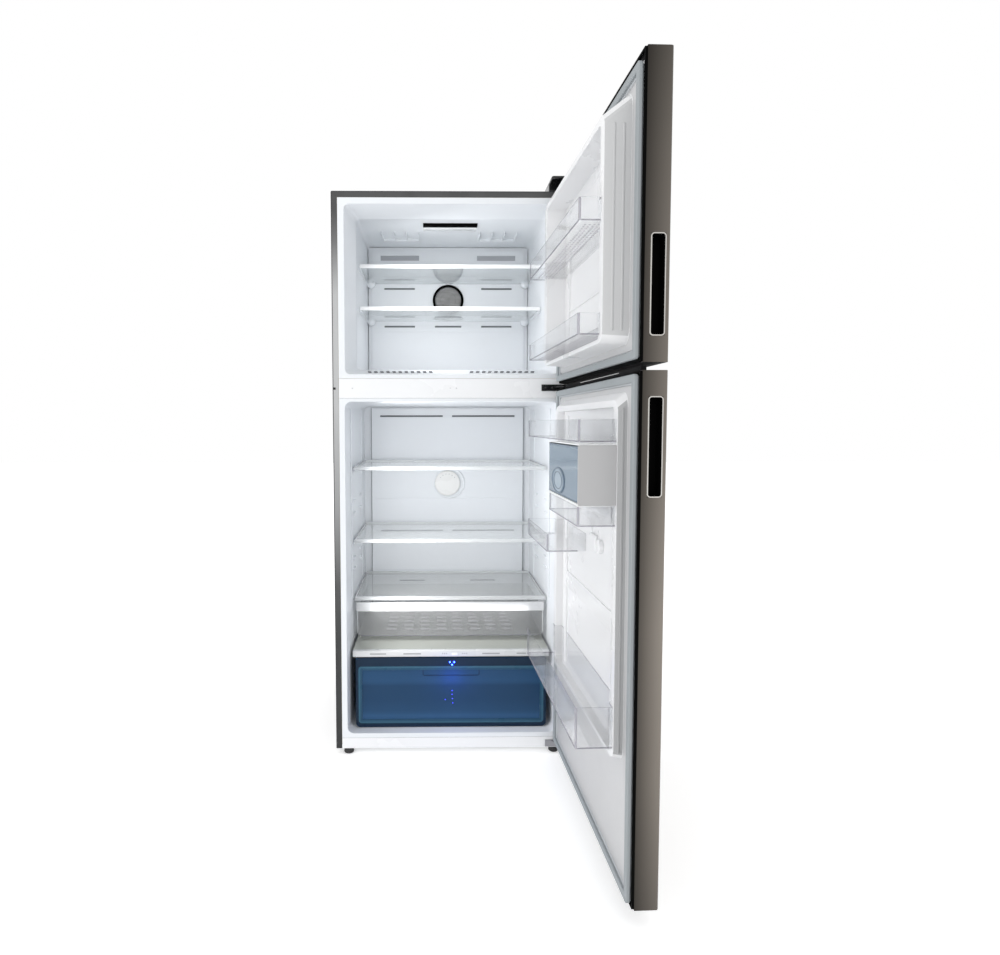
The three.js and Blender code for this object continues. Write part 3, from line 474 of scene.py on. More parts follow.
@dataclass(frozen=True)
class Finish:
    """One finish: its colour, how it shines, the grain and dust that vary over it, and any painted light
    and shade.
    """

    name: str
    slot: str
    colour: Point
    rough: float
    metal: float = 0.0
    vary: float = 0.05  # share by which the colour wanders
    rough_spread: float = 0.05
    fine: float = 900.0  # grain spots in a metre
    broad: float = 5.0
    stretch: Point = (1.0, 1.0, 1.0)
    bump: float = 0.08
    depth: float = 0.0002
    dust: float = 0.03
    coat: float = 0.0
    clear: float = 0.0
    ior: float = 1.46
    alpha: Pair | None = None  # square on, and along the surface
    glow: float = 0.0
    painted_light_by_height: tuple[Pair, ...] = ()  # painted light and shade: heights in metres, and how much of the colour is left there
    painted_shade_along: tuple[Point, Pair, Pair] | None = None  # painted shade: a way, two places along it, and the tones there

    def material(self) -> bpy.types.Material:
        """Gives the finish's material, built at its first use."""
        return bpy.data.materials.get(f"look_{self.name}") or self.built()

    def built(self) -> bpy.types.Material:
        """Builds the material's nodes.

        Returns:
            The material.
        """
        material = bpy.data.materials.new(f"look_{self.name}")
        material.use_nodes = True
        tree = material.node_tree
        shader = tree.nodes["Principled BSDF"]
        shader.inputs["Metallic"].default_value = self.metal
        shader.inputs["IOR"].default_value = self.ior
        shader.inputs["Coat Weight"].default_value = self.coat
        shader.inputs["Coat Roughness"].default_value = 0.08
        shader.inputs["Transmission Weight"].default_value = self.clear
        place = tree.nodes.new("ShaderNodeTexCoord")
        mapping = tree.nodes.new("ShaderNodeMapping")
        mapping.inputs["Scale"].default_value = self.stretch
        tree.links.new(place.outputs["Object"], mapping.inputs["Vector"])
        grain = tree.nodes.new("ShaderNodeGroup")
        grain.node_tree = grain_group()
        grain.inputs["Fine"].default_value = self.fine
        grain.inputs["Broad"].default_value = self.broad
        tree.links.new(mapping.outputs["Vector"], grain.inputs["Vector"])
        self.paint(tree, shader, grain, place)
        self.roughen(tree, shader, grain)
        if self.alpha:
            self.thin(tree, shader)
        if self.glow:
            shader.inputs["Emission Color"].default_value = (*self.colour, 1)
            shader.inputs["Emission Strength"].default_value = self.glow
        return material

    def paint(self, tree: bpy.types.NodeTree, shader: bpy.types.Node, grain: bpy.types.Node,
              place: bpy.types.Node) -> None:
        """Wires the colour, its slow wander, the dust on it and any painted light and shade.

        Args:
            tree: the material's nodes.
            shader: the shader that takes the colour.
            grain: the grain group's node.
            place: the texture coordinates.
        """
        wander = tree.nodes.new("ShaderNodeMix")
        wander.data_type = "RGBA"
        wander.inputs["A"].default_value = (*(c * (1 - self.vary) for c in self.colour), 1)
        wander.inputs["B"].default_value = (*(min(c * (1 + self.vary), 1.0) for c in self.colour), 1)
        tree.links.new(grain.outputs["Shade"], wander.inputs["Factor"])
        dust = tree.nodes.new("ShaderNodeGroup")
        dust.node_tree = dust_group()
        dust.inputs["Amount"].default_value = self.dust
        tree.links.new(place.outputs["Object"], dust.inputs["Vector"])
        dusted = tree.nodes.new("ShaderNodeMix")
        dusted.data_type = "RGBA"
        dusted.inputs["B"].default_value = (0.55, 0.53, 0.5, 1)
        tree.links.new(dust.outputs["Mask"], dusted.inputs["Factor"])
        tree.links.new(wander.outputs["Result"], dusted.inputs["A"])
        if self.painted_light_by_height:
            self.shade(tree, shader, place, dusted)
        else:
            tree.links.new(dusted.outputs["Result"], shader.inputs["Base Color"])

    def shade(self, tree: bpy.types.NodeTree, shader: bpy.types.Node, place: bpy.types.Node,
              colour: bpy.types.Node) -> None:
        """Wires the painted light and shade that change with height, and then the painted shade along a
        way.

        Args:
            tree: the material's nodes.
            shader: the shader that takes the colour.
            place: the texture coordinates.
            colour: the mix that gives the colour.
        """
        split = tree.nodes.new("ShaderNodeSeparateXYZ")
        tree.links.new(place.outputs["Object"], split.inputs["Vector"])
        level = tree.nodes.new("ShaderNodeMapRange")
        level.inputs["From Max"].default_value = 2.0
        tree.links.new(split.outputs["Z"], level.inputs["Value"])
        ramp = tree.nodes.new("ShaderNodeValToRGB")
        tree.links.new(level.outputs["Result"], ramp.inputs["Fac"])
        stops = ramp.color_ramp.elements
        for index, (height, tone) in enumerate(self.painted_light_by_height):
            stop = stops[index] if index < 2 else stops.new(height / 2.0)
            stop.position = height / 2.0
            stop.color = (tone, tone, tone, 1)
        toned = tree.nodes.new("ShaderNodeMix")
        toned.data_type = "RGBA"
        toned.blend_type = "MULTIPLY"
        toned.inputs["Factor"].default_value = 1.0
        tree.links.new(colour.outputs["Result"], toned.inputs["A"])
        tree.links.new(ramp.outputs["Color"], toned.inputs["B"])
        last = self.swept(tree, place, toned) if self.painted_shade_along else toned
        tree.links.new(last.outputs["Result"], shader.inputs["Base Color"])

    def swept(self, tree: bpy.types.NodeTree, place: bpy.types.Node,
              colour: bpy.types.Node) -> bpy.types.Node:
        """Wires the painted shade that changes evenly along the finish's way.

        Args:
            tree: the material's nodes.
            place: the texture coordinates.
            colour: the mix that gives the colour.

        Returns:
            The mix that gives the toned colour.
        """
        way, ends, tones = self.painted_shade_along
        along = tree.nodes.new("ShaderNodeVectorMath")
        along.operation = "DOT_PRODUCT"
        along.inputs[1].default_value = way
        tree.links.new(place.outputs["Object"], along.inputs[0])
        level = tree.nodes.new("ShaderNodeMapRange")
        level.inputs["From Min"].default_value, level.inputs["From Max"].default_value = ends
        level.inputs["To Min"].default_value, level.inputs["To Max"].default_value = tones
        tree.links.new(along.outputs["Value"], level.inputs["Value"])
        toned = tree.nodes.new("ShaderNodeMix")
        toned.data_type = "RGBA"
        toned.blend_type = "MULTIPLY"
        toned.inputs["Factor"].default_value = 1.0
        tree.links.new(colour.outputs["Result"], toned.inputs["A"])
        tree.links.new(level.outputs["Result"], toned.inputs["B"])
        return toned

    def roughen(self, tree: bpy.types.NodeTree, shader: bpy.types.Node, grain: bpy.types.Node) -> None:
        """Wires the roughness and the bump.

        Args:
            tree: the material's nodes.
            shader: the shader that takes them.
            grain: the grain group's node.
        """
        rough = tree.nodes.new("ShaderNodeMapRange")
        rough.inputs["From Min"].default_value = 0.3
        rough.inputs["From Max"].default_value = 0.7
        rough.inputs["To Min"].default_value = max(self.rough - self.rough_spread, 0.02)
        rough.inputs["To Max"].default_value = min(self.rough + self.rough_spread, 1.0)
        tree.links.new(grain.outputs["Shade"], rough.inputs["Value"])
        tree.links.new(rough.outputs["Result"], shader.inputs["Roughness"])
        bump = tree.nodes.new("ShaderNodeBump")
        bump.inputs["Strength"].default_value = self.bump
        bump.inputs["Distance"].default_value = self.depth
        tree.links.new(grain.outputs["Height"], bump.inputs["Height"])
        tree.links.new(bump.outputs["Normal"], shader.inputs["Normal"])

    def thin(self, tree: bpy.types.NodeTree, shader: bpy.types.Node) -> None:
        """Wires the alpha, which rises where the surface is seen along itself.

        Args:
            tree: the material's nodes.
            shader: the shader that takes it.
        """
        facing = tree.nodes.new("ShaderNodeLayerWeight")
        facing.inputs["Blend"].default_value = 0.35
        level = tree.nodes.new("ShaderNodeMapRange")
        level.inputs["To Min"].default_value = self.alpha[0]
        level.inputs["To Max"].default_value = self.alpha[1]
        tree.links.new(facing.outputs["Facing"], level.inputs["Value"])
        tree.links.new(level.outputs["Result"], shader.inputs["Alpha"])


CASE = Finish("case_paint", "case_grey", (0.075, 0.076, 0.082), 0.42, 0.7, vary=0.2, fine=1400, bump=0.1)
# brushed steel; its tones by height are painted reflection of the studio on the doors
DOOR_STEEL_PAINTED_REFLECTION = Finish(
    "door_brushed_steel", "stainless", (0.165, 0.148, 0.13), 0.36, 1.0, 0.12, 0.06, 1500,
    stretch=(1, 1, 0.012), bump=0.12, depth=0.0001,
    painted_light_by_height=((0.02, 0.5), (0.3, 0.82), (0.6, 0.95), (1.0, 0.75), (1.3, 0.72), (1.5, 0.62), (1.7, 0.42)),
)
GALVANISED = Finish("galvanised_sheet", "galvanised", (0.5, 0.52, 0.53), 0.45, 0.9, 0.22, 0.12, 160, 34.0)
LINER = Finish("liner_white", "white_plastic", (0.79, 0.815, 0.845), 0.36, vary=0.012, dust=0.01)
DOOR_LINER = Finish("door_liner_white", "white_plastic", (0.76, 0.765, 0.775), 0.3, vary=0.012, dust=0.01)
# grey copies of the door liner's white: painted shade on the ring's handle side and on the field round it
RING_PAINTED_SHADE = Finish("ring_painted_shade", "white_plastic", (0.53, 0.535, 0.54), 0.34, vary=0.015, dust=0.01)
RING_PAINTED_DEEP_SHADE = Finish("ring_painted_deep_shade", "white_plastic", (0.4, 0.405, 0.41), 0.34, vary=0.015, dust=0.01)
FIELD_PAINTED_SHADE = Finish("field_painted_shade", "white_plastic", (0.49, 0.492, 0.5), 0.34, vary=0.015, dust=0.01)
SOFT_WHITE = Finish("soft_white", "white_plastic", (0.69, 0.7, 0.71), 0.3, vary=0.01, dust=0.01)
CAP_BLACK = Finish(
    "cap_black", "black_plastic", (0.01, 0.01, 0.011), 0.7, vary=0.3, bump=0.1, dust=0.03, ior=1.15,
)
TRIM_WHITE = Finish("trim_white", "white_plastic", (0.92, 0.93, 0.94), 0.25, vary=0.01, dust=0.01)
ENAMEL = Finish("white_enamel", "white_steel", (0.84, 0.85, 0.865), 0.26, vary=0.01, bump=0.05, coat=0.2)
BLACK = Finish(
    "black_moulding", "black_plastic", (0.012, 0.012, 0.013), 0.3, vary=0.3, bump=0.15, dust=0.05,
)
GLOSS_BLACK = Finish("black_gloss", "black_plastic", (0.006, 0.006, 0.007), 0.12, bump=0.0, coat=0.2)
DEEP_BLACK = Finish("deep_black", "black_plastic", (0.002, 0.002, 0.002), 0.6, bump=0.0, dust=0.0, ior=1.08)
SHADOW = Finish("deep_shadow", "black_plastic", (0.16, 0.17, 0.18), 0.8, vary=0.2)
SEAL = Finish("seal_blue_grey", "seal_grey", (0.29, 0.315, 0.33), 0.6, vary=0.06, bump=0.2)
# a lighter grey for the seal's inner lip, painted light on the same rubber
SEAL_LIP_PAINTED_LIGHT = Finish("seal_lip_painted_light", "seal_grey", (0.47, 0.49, 0.51), 0.55, vary=0.05, bump=0.2)
FOAM = Finish("foam", "foam", (0.72, 0.62, 0.36), 0.9, vary=0.25, fine=260, bump=0.6, depth=0.001)
CLEAR = Finish(
    "clear_wall", "clear_plastic", (0.9, 0.92, 0.95), 0.06, vary=0.02, bump=0.02, clear=1.0,
    alpha=(0.07, 0.4), dust=0.0,
)
# a dark tint for the thick edges and rims of clear plastic, painted shade for the darkening these edges
# show
CLEAR_EDGE_PAINTED_SHADE = Finish(
    "clear_edge_painted_shade", "clear_plastic", (0.34, 0.33, 0.38), 0.16, vary=0.1, bump=0.02, clear=0.2,
    alpha=(0.6, 0.85), dust=0.0,
)
GLASS = Finish(
    "shelf_glass", "shelf_glass", (0.93, 0.96, 0.96), 0.12, vary=0.02, bump=0.0, clear=0.3, ior=1.35,
    alpha=(0.1, 0.42), dust=0.0,
)
LID_GLASS = Finish(
    "lid_glass", "shelf_glass", (0.64, 0.66, 0.61), 0.35, vary=0.03, bump=0.02, clear=0.3, ior=1.5,
    alpha=(0.8, 0.95), dust=0.0,
)
TINTED = Finish(
    "tinted_front", "blue_tint", (0.3, 0.4, 0.5), 0.1, vary=0.05, bump=0.02, clear=0.4,
    alpha=(0.72, 0.92), dust=0.0,
)
CRISPER_BLUE_PAINTED_SHADE = Finish(
    "crisper_blue", "crisper_blue", (0.036, 0.104, 0.225), 0.2, vary=0.08, bump=0.02,
    alpha=(0.9, 0.97), dust=0.0, ior=1.2,
    painted_light_by_height=(
        (0.02, 0.6), (0.084, 0.9), (0.104, 1.0), (0.112, 0.74), (0.15, 0.62), (0.198, 0.6), (0.206, 0.84),
        (0.24, 0.78), (0.262, 0.62), (0.28, 0.5),
    ),
)
CRISPER_NAVY = Finish(
    "crisper_navy", "crisper_blue", (0.012, 0.028, 0.056), 0.25, vary=0.1, dust=0.0, ior=1.22,
)
# a grey copy of the box's white for its two ends, painted shade
BOX_PAINTED_SHADE = Finish("box_grey", "box_grey", (0.42, 0.42, 0.425), 0.4, vary=0.02, dust=0.0)
CAP_STEEL = Finish(
    "spun_steel", "cap_steel", (0.27, 0.27, 0.27), 0.34, 0.9, 0.6, 0.1, 900, 60.0, (0.4, 1, 1),
)
FIN = Finish("fin_aluminium", "fin_aluminium", (0.72, 0.74, 0.76), 0.35, 1.0, 0.1)
COMPRESSOR = Finish("compressor_paint", "compressor_black", (0.015, 0.015, 0.018), 0.4, 0.2, 0.3, dust=0.2)
ZINC = Finish("zinc_plate", "zinc_steel", (0.3, 0.3, 0.32), 0.35, 1.0, 0.2, fine=220)
RUBBER = Finish("foot_rubber", "foot_rubber", (0.018, 0.018, 0.02), 0.7, vary=0.3, bump=0.3, dust=0.1)
COPPER = Finish("copper_line", "copper_pipe", (0.66, 0.32, 0.18), 0.3, 1.0, 0.2, fine=200)
STEEL_EDGE = Finish("bright_edge", "stainless", (0.62, 0.6, 0.57), 0.25, 1.0, 0.05)
BLUE_LIGHT = Finish("blue_light", "crisper_blue", (0.02, 0.06, 1.0), 0.3, glow=28.0)
# a faint blue glow for small dots below the lights, painted glints of them on the drawer
PAINTED_GLINT = Finish("spark", "crisper_blue", (0.05, 0.06, 1.0), 0.3, glow=3.0)
# the flange's tones by height are painted reflection, dark at the foot and the top and light in the middle
FLANGE_PAINTED_REFLECTION = Finish(
    "flange_brushed_painted_reflection", "case_grey", (0.5, 0.505, 0.51), 0.4, 0.8, 0.3, 0.08, 600, 9.0, (1, 1, 0.1),
    painted_light_by_height=(
        (0.0, 0.1), (0.35, 0.12), (0.52, 0.2), (0.75, 0.62), (1.05, 0.97), (1.38, 0.95), (1.53, 0.4),
        (1.62, 0.21), (1.7, 0.2),
    ),
)
# grey for the floors of the upper vents, painted shade in them
SLOT_PAINTED_SHADE = Finish("slot_painted_shade", "white_plastic", (0.42, 0.43, 0.46), 0.6, vary=0.06)
# a darker grey for the strip painted as shade in the gap beside the duct panel, and for the filter cap's
# ring and dots
SEAM_SHADE_AND_MARK_GREY = Finish("seam_shade_and_mark_grey", "white_plastic", (0.3, 0.31, 0.33), 0.6, vary=0.1)
TICK_GREY = Finish("tick_grey", "white_plastic", (0.34, 0.35, 0.36), 0.5, vary=0.1)
CAP_WHITE = Finish("cap_white", "white_plastic", (0.84, 0.84, 0.83), 0.3, vary=0.012, dust=0.01)
LENS = Finish("lamp_lens", "black_plastic", (0.9, 0.92, 0.95), 0.4, vary=0.01, clear=0.5)
TRIM_CLEAR = Finish(
    "trim_translucent", "white_plastic", (0.88, 0.9, 0.91), 0.12, vary=0.02, clear=0.3, dust=0.0,
    alpha=(0.75, 0.95),
)
GLASS_UP = Finish(
    "freezer_plate", "clear_plastic", (0.86, 0.9, 0.9), 0.05, vary=0.02, bump=0.0, clear=0.9,
    alpha=(0.35, 0.85), dust=0.0,
)
TRAY_CLEAR = Finish(
    "tray_clear", "clear_plastic", (0.8, 0.81, 0.82), 0.1, vary=0.02, bump=0.02, clear=0.6,
    alpha=(0.16, 0.6), dust=0.0,
)
TILE_CLEAR = Finish(
    "tile_clear", "clear_plastic", (0.9, 0.9, 0.92), 0.2, vary=0.02, dust=0.0, alpha=(0.2, 0.45),
)
# lighter blues for two bands inside the window's edge, painted light where the tub's thick edges catch it
CRISPER_EDGE_PAINTED_LIGHT = replace(CRISPER_NAVY, name="crisper_edge_painted_light", colour=(0.046, 0.125, 0.19), rough=0.3, ior=1.2)
CRISPER_MID_PAINTED_LIGHT = replace(CRISPER_NAVY, name="crisper_mid_painted_light", colour=(0.03, 0.086, 0.15), rough=0.3, ior=1.2)
CRISPER_LINE = replace(CRISPER_NAVY, name="crisper_line", colour=(0.016, 0.042, 0.09), rough=0.3, ior=1.2)
TINTED_EDGE = Finish("tinted_edge", "blue_tint", (0.12, 0.17, 0.23), 0.15, vary=0.05)
TINTED_DIAL = Finish("tinted_dial", "blue_tint", (0.27, 0.35, 0.42), 0.12, vary=0.05)
DOT_GREY = Finish("dot_grey", "clear_plastic", (0.35, 0.34, 0.38), 0.3, vary=0.1)
FLOOR = Finish(
    "studio_white", "", (0.95, 0.95, 0.95), 0.9, vary=0.005, bump=0.02, dust=0.0, ior=1.1, glow=0.35,
)


# ---- places, from the frame ----


@dataclass(frozen=True)
class Span:
    """The three spans of a box in millimetres."""

    x: Pair
    y: Pair
    z: Pair


def cabinet_axes() -> Matrix:
    """Gives the matrix from the cabinet's millimetres to the row frame."""
    low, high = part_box("outer_case")
    return Matrix.Translation(((low.x + high.x) / 2, low.y, 0)) @ Matrix.Scale(MM, 4)


def door_axes(joint_name: str) -> Matrix:
    """Gives the matrix that puts a piece drawn with its door shut where the open door has it.

    Args:
        joint_name: the door's hinge joint, whose lower limit is how far it shuts.

    Returns:
        The matrix.
    """
    joint = next(j for j in frame["joints"] if j["name"] == joint_name)
    pin = Vector((joint["pos_m"][0], joint["pos_m"][1], 0))
    swing = Matrix.Rotation(math.radians(-joint["range_deg"][0]), 4, "Z")
    return Matrix.Translation(pin) @ swing @ Matrix.Translation(-pin) @ cabinet_axes()


def measured(node: str, axes: Matrix) -> Span:
    """Measures a CAD node on a piece's own axes.

    Args:
        node: the CAD node.
        axes: the axes, as a matrix to the row frame.

    Returns:
        The node's spans.
    """
    back = axes.inverted()
    corners = [back @ v.co for v in frame["nodes"][node].data.vertices]
    return Span(*((min(c[i] for c in corners), max(c[i] for c in corners)) for i in range(3)))


CABINET = cabinet_axes()
SHUT = {"freezer": door_axes("freezer_door_hinge"), "fridge": door_axes("fridge_door_hinge")}
UP = Vector((0, 0, 1))


def dressed(node: str, finish: Finish) -> None:
    """Gives a CAD node that shows its own shape a finish."""
    slots = frame["nodes"][node].data.materials
    slots.clear()
    slots.append(finish.material())


def cabinet_piece(name: str) -> Piece:
    """Starts a piece on the cabinet's axes."""
    return Piece(name, CABINET)


# ---- shared shapes of the refrigerator ----


def arch(half: float, z: Pair, width: float, y: Pair, corner: float) -> bmesh.types.BMesh:
    """Makes a sheet that runs up one side, over the top and down the other.

    Args:
        half: how far it reaches on both sides of the middle plane.
        z: its lower end and its top.
        width: its thickness, inwards.
        y: its span in the depth.
        corner: the radius of its two outer corners.

    Returns:
        The solid.
    """
    low, top = z
    inner = half - width
    points = [
        (-half, low), (-half, top), (half, top), (half, low),
        (inner, low), (inner, top - width), (-inner, top - width), (-inner, low),
    ]
    inside = max(corner - width, 0.5)
    return prism(Axis.Y, points, y, {1: corner, 2: corner, 5: inside, 6: inside})


def liner(flange: Rect, sections: list[Rect], wall: float) -> bmesh.types.BMesh:
    """Makes a moulded liner: a flange round a mouth, and a room that runs back from it.

    Args:
        flange: the outside of the flange, at its front.
        sections: the room's sections, from the mouth to the rear.
        wall: the liner's thickness.

    Returns:
        The solid.
    """
    inner = list(reversed(sections))
    outer = [section.grown(wall, wall) for section in sections]
    return lofted(Axis.Y, [*inner, flange, flange.grown(0, wall), *outer])


def frame_ring(outer: Rect, inner: Rect, depth: float) -> bmesh.types.BMesh:
    """Makes a flat frame between two rounded rectangles."""
    axis = Axis.Y
    return lofted(axis, [outer, inner, inner.grown(0, depth), outer.grown(0, depth)], ring=True)


def dome(axis: Axis, centre: Point, radius: float, height: float, sides: int = 24) -> bmesh.types.BMesh:
    """Makes a low dome, such as a screw head; a height below zero turns it round."""
    bow = ((0, 1), (0.55, 0.9), (0.9, 0.5), (1, 0), (0, 0))
    profile = [(radius * out, height * up) for out, up in bow]
    return turned(axis, centre, profile, sides)


def slotted(plate: bmesh.types.BMesh, slots: list[tuple[Pair, float, float]], front: float, depth: float,
            paint: int) -> None:
    """Sinks slots in pairs, one on each side of the middle plane.

    Args:
        plate: the plate.
        slots: the span across, the height and the tallness of each slot on the positive side.
        front: where the plate's front is in its depth.
        depth: how deep the slots are.
        paint: the finish of their floors.
    """
    for (near, far), z, tall in slots:
        for x in ((near, far), (-far, -near)):
            for face in recess(plate, x, (z - tall / 2, z + tall / 2), front, depth):
                face.material_index = paint


# ---- the cabinet's outside ----


@dataclass(frozen=True)
class CaseShell:
    """The wrapped steel case: its skin, its folded front flange and the seams at its corners."""

    sheet: float = 2.0
    flange: float = 17.7
    corner: float = 4.0
    rim: float = 2.4
    notch: Pair = (1103.0, 1110.0)
    seam: float = 1.1

    def build(self) -> None:
        """Builds the case."""
        span = measured("outer_case", CABINET)
        half = span.x[1]
        shell = cabinet_piece("case_shell")
        shell.add(arch(half, span.z, self.sheet, (1.2, span.y[1]), self.corner), 0.4)
        shell.add(arch(half, span.z, self.rim, (0, 2.4), self.corner), 0.7)
        inside = half - self.rim
        top = (span.z[0], span.z[1] - self.rim)
        shell.add(arch(inside, top, self.flange - self.rim, (0.5, 2.2), 1.0), 0.3, paint=1)
        for side in (-1, 1):
            self.add_seam(shell, side, half, span.z[1])
            notch = block(sorted((side * (half - 1), side * (half - 9))), (-0.2, 2.5), self.notch)
            shell.add(notch, 0.8, paint=2)
        shell.place("cabinet", [CASE, FLANGE_PAINTED_REFLECTION, BLACK, STEEL_EDGE], ("outer_case",))

    def add_seam(self, shell: Piece, side: int, half: float, top: float) -> None:
        """Adds the light line where the flange is mitred.

        Args:
            shell: the piece to add to.
            side: minus one for the left corner, one for the right.
            half: how far the case reaches.
            top: the top of the case.
        """
        outer = (side * (half - self.corner / 2), top - self.corner / 2)
        inner = (side * (half - self.flange), top - self.flange)
        wide = self.seam / 2
        line = [
            (outer[0] - wide, outer[1] - wide * side), (inner[0] - wide, inner[1] - wide * side),
            (inner[0] + wide, inner[1] + wide * side), (outer[0] + wide, outer[1] + wide * side),
        ]
        shell.add(prism(Axis.Y, line, (-0.1, 1.0)), paint=3)


@dataclass(frozen=True)
class RearPanels:
    """The back panel, the cover of the compressor bay with its louvres, and the cord's grommet."""

    emboss: float = 1.2
    margin: float = 46.0
    gland: Point = (-300.0, 625.0, 60.0)
    louvre: Pair = (96.0, 184.0)

    def build(self) -> None:
        """Builds both panels."""
        self.build_back()
        self.build_cover()

    def build_back(self) -> None:
        """Builds the embossed back panel and its screws."""
        span = measured("back_panel", CABINET)
        back = cabinet_piece("rear_panel")
        plate = block(span.x, span.y, span.z)
        fields = 3
        tall = (span.z[1] - span.z[0] - self.margin * (fields + 1)) / fields
        for i in range(fields):
            low = span.z[0] + self.margin + i * (tall + self.margin)
            across = (span.x[0] + self.margin, span.x[1] - self.margin)
            recess(plate, across, (low, low + tall), span.y[1], self.emboss)
        back.add(plate, 0.4)
        for x in (span.x[0] + 12, span.x[1] - 12):
            back.add(
                dome(Axis.Y, (x, span.y[1], span.z[0] + 30), 4.5, 2.2), paint=1,
                at=[(0, 0, i * (span.z[1] - span.z[0] - 60) / 5) for i in range(6)],
            )
        back.place("cabinet", [GALVANISED, ZINC], ("back_panel",))

    def build_cover(self) -> None:
        """Builds the cover of the compressor bay."""
        span = measured("compressor_bay_cover", CABINET)
        rear = 625.0
        cover = cabinet_piece("bay_cover")
        plate = block(span.x, (rear - 2, rear), span.z)
        for x in range(-240, 241, 40):
            # the louvres' floors are painted black, as painted shade in the openings
            for face in recess(plate, (x - 5, x + 5), self.louvre, rear, 1.6):
                face.material_index = 1
        cover.add(plate, 0.3, paint=-1)
        cover.add(
            block((-13, -6), (rear - 0.5, rear + 2.4), (self.louvre[0] - 2, self.louvre[1] + 2)), 1.0,
            at=[(x, 0, 0) for x in range(-240, 241, 40)],
        )
        bush = [(5, -2), (14, -2), (14, 1.5), (11, 4), (5, 4)]
        cover.add(turned(Axis.Y, self.gland, bush), 0.5, paint=1)
        for x in (span.x[0] + 12, span.x[1] - 12):
            head = dome(Axis.Y, (x, rear, span.z[1] - 12), 4.5, 2.2)
            cover.add(head, paint=2, at=[(0, 0, 0), (0, 0, -150)])
        cover.place("cabinet", [GALVANISED, BLACK, ZINC], ("compressor_bay_cover",))


@dataclass(frozen=True)
class FrontTrims:
    """The bottom rail and the cover of the mullion between the rooms."""

    edge: float = 1.4
    seam: float = 0.9
    dots: tuple[Point, ...] = ((-4.0, 0.0, 1107.0), (14.0, 0.0, 1107.0), (-292.0, 0.0, 1107.0))

    def build(self) -> None:
        """Builds both trims."""
        span = measured("bottom_rail", CABINET)
        rail = cabinet_piece("rail")
        rail.add(block(span.x, (0, 2.2), span.z), self.edge)
        rail.add(block(span.x, (2, span.y[1]), (span.z[0], span.z[0] + 2)), 0.4)
        rail.add(block(span.x, (0.6, 2.4), (span.z[1] - 0.1, span.z[1] + self.seam)), 0.2, paint=1)
        rail.place("cabinet", [ENAMEL, SHADOW], ("bottom_rail",))
        span = measured("mullion_cover", CABINET)
        cover = cabinet_piece("mullion")
        cover.add(block(span.x, (0, span.y[1]), span.z), self.edge)
        for spot in self.dots:
            cover.add(dome(Axis.Y, spot, 3.0, -0.8), paint=0)
            cover.add(rod(Axis.Y, (spot[0], -0.9, spot[2]), 1.0, 0.4, 12), paint=1)
        cover.place("cabinet", [ENAMEL, SHADOW], ("mullion_cover",))


@dataclass(frozen=True)
class Hinges:
    """The top hinge's cover, and the black facing of the middle hinge with its screws."""

    lid: Pair = (1696.3, 1705.0)
    skirt: Pair = (1677.0, 1700.0)
    ease: float = 2.6
    facing: tuple[Pair, ...] = ((267.0, 311.0), (317.0, 344.5))
    facing_z: Pair = (1099.6, 1117.6)
    front: Pair = (-4.6, -3.2)

    def build(self) -> None:
        """Builds the covers and dresses the plates."""
        span = measured("top_hinge_cover", CABINET)
        cover = cabinet_piece("hinge_cover")
        outline = [(span.x[i], span.y[j]) for i, j in ((0, 0), (1, 0), (1, 1), (0, 1))]
        rounds = {i: 8.0 for i in range(4)}
        cover.add(prism(Axis.Z, outline, self.lid, rounds), self.ease)
        behind = [(span.x[0], 2.0), (span.x[1], 2.0), (span.x[1], span.y[1]), (span.x[0], span.y[1])]
        cover.add(prism(Axis.Z, behind, self.skirt, {2: 8.0, 3: 8.0}), self.ease)
        across = (span.x[0] + 10, span.x[1] - 10)
        ridge = block(across, (span.y[0] + 20, span.y[0] + 24), (self.lid[1] - 1, self.lid[1] + 1.2))
        cover.add(ridge, 0.9, at=[(0, i * 16, 0) for i in range(6)])
        cover.place("cabinet", [GLOSS_BLACK], ("top_hinge_cover",))
        facing = cabinet_piece("middle_hinge_facing")
        for x in self.facing:
            facing.add(block(x, self.front, self.facing_z), 0.6)
        neck = block((310, 318), self.front, (1104.5, 1112.5))
        facing.add(neck, 0.3)
        for x in (278, 298, 326, 338):
            facing.add(dome(Axis.Y, (x, self.front[0], 1108.6), 3.4, -1.4), paint=1)
        facing.place("cabinet", [GLOSS_BLACK, BLACK])
        dressed("middle_hinge", BLACK)
        dressed("top_hinge", ZINC)
        dressed("bottom_hinge", ZINC)


@dataclass(frozen=True)
class Machinery:
    """The parts that hide behind the panels and keep the frame's own shapes."""

    finishes: tuple[tuple[str, Finish], ...] = (
        ("base_pan", GALVANISED), ("cabinet_foam", FOAM), ("compressor", COMPRESSOR),
        ("refrigerant_pipe", COPPER), ("fan_blade", TRIM_WHITE), ("fan_motor", ZINC), ("evaporator", FIN),
        ("rear_roller_left", RUBBER), ("rear_roller_right", RUBBER),
    )

    def build(self) -> None:
        """Dresses the parts."""
        for node, finish in self.finishes:
            dressed(node, finish)
            LOG.info("%s keeps its shape", node)


@dataclass(frozen=True)
class FrontFoot:
    """A levelling foot: a rubber pad on a stem, with a hexagon to turn it by."""

    side: str
    pad: tuple[Pair, ...] = ((0, 0), (12.5, 0), (15, 2.6), (15, 8.5), (12, 12.6), (6.5, 14.6), (0, 14.6))
    hexagon: tuple[Pair, ...] = ((0, 10.5), (8.6, 10.5), (8.6, 15.2), (0, 15.2))

    def build(self) -> None:
        """Builds the foot."""
        node = f"front_foot_{self.side}"
        span = measured(node, CABINET)
        centre = (sum(span.x) / 2, sum(span.y) / 2, 0)
        foot = cabinet_piece(f"foot_{self.side}")
        foot.add(turned(Axis.Z, centre, list(self.pad)), 0.6)
        foot.add(turned(Axis.Z, centre, list(self.hexagon), 6), 0.3, paint=1)
        foot.place(node, [RUBBER, ZINC], (node,))


# ---- the freezer room ----


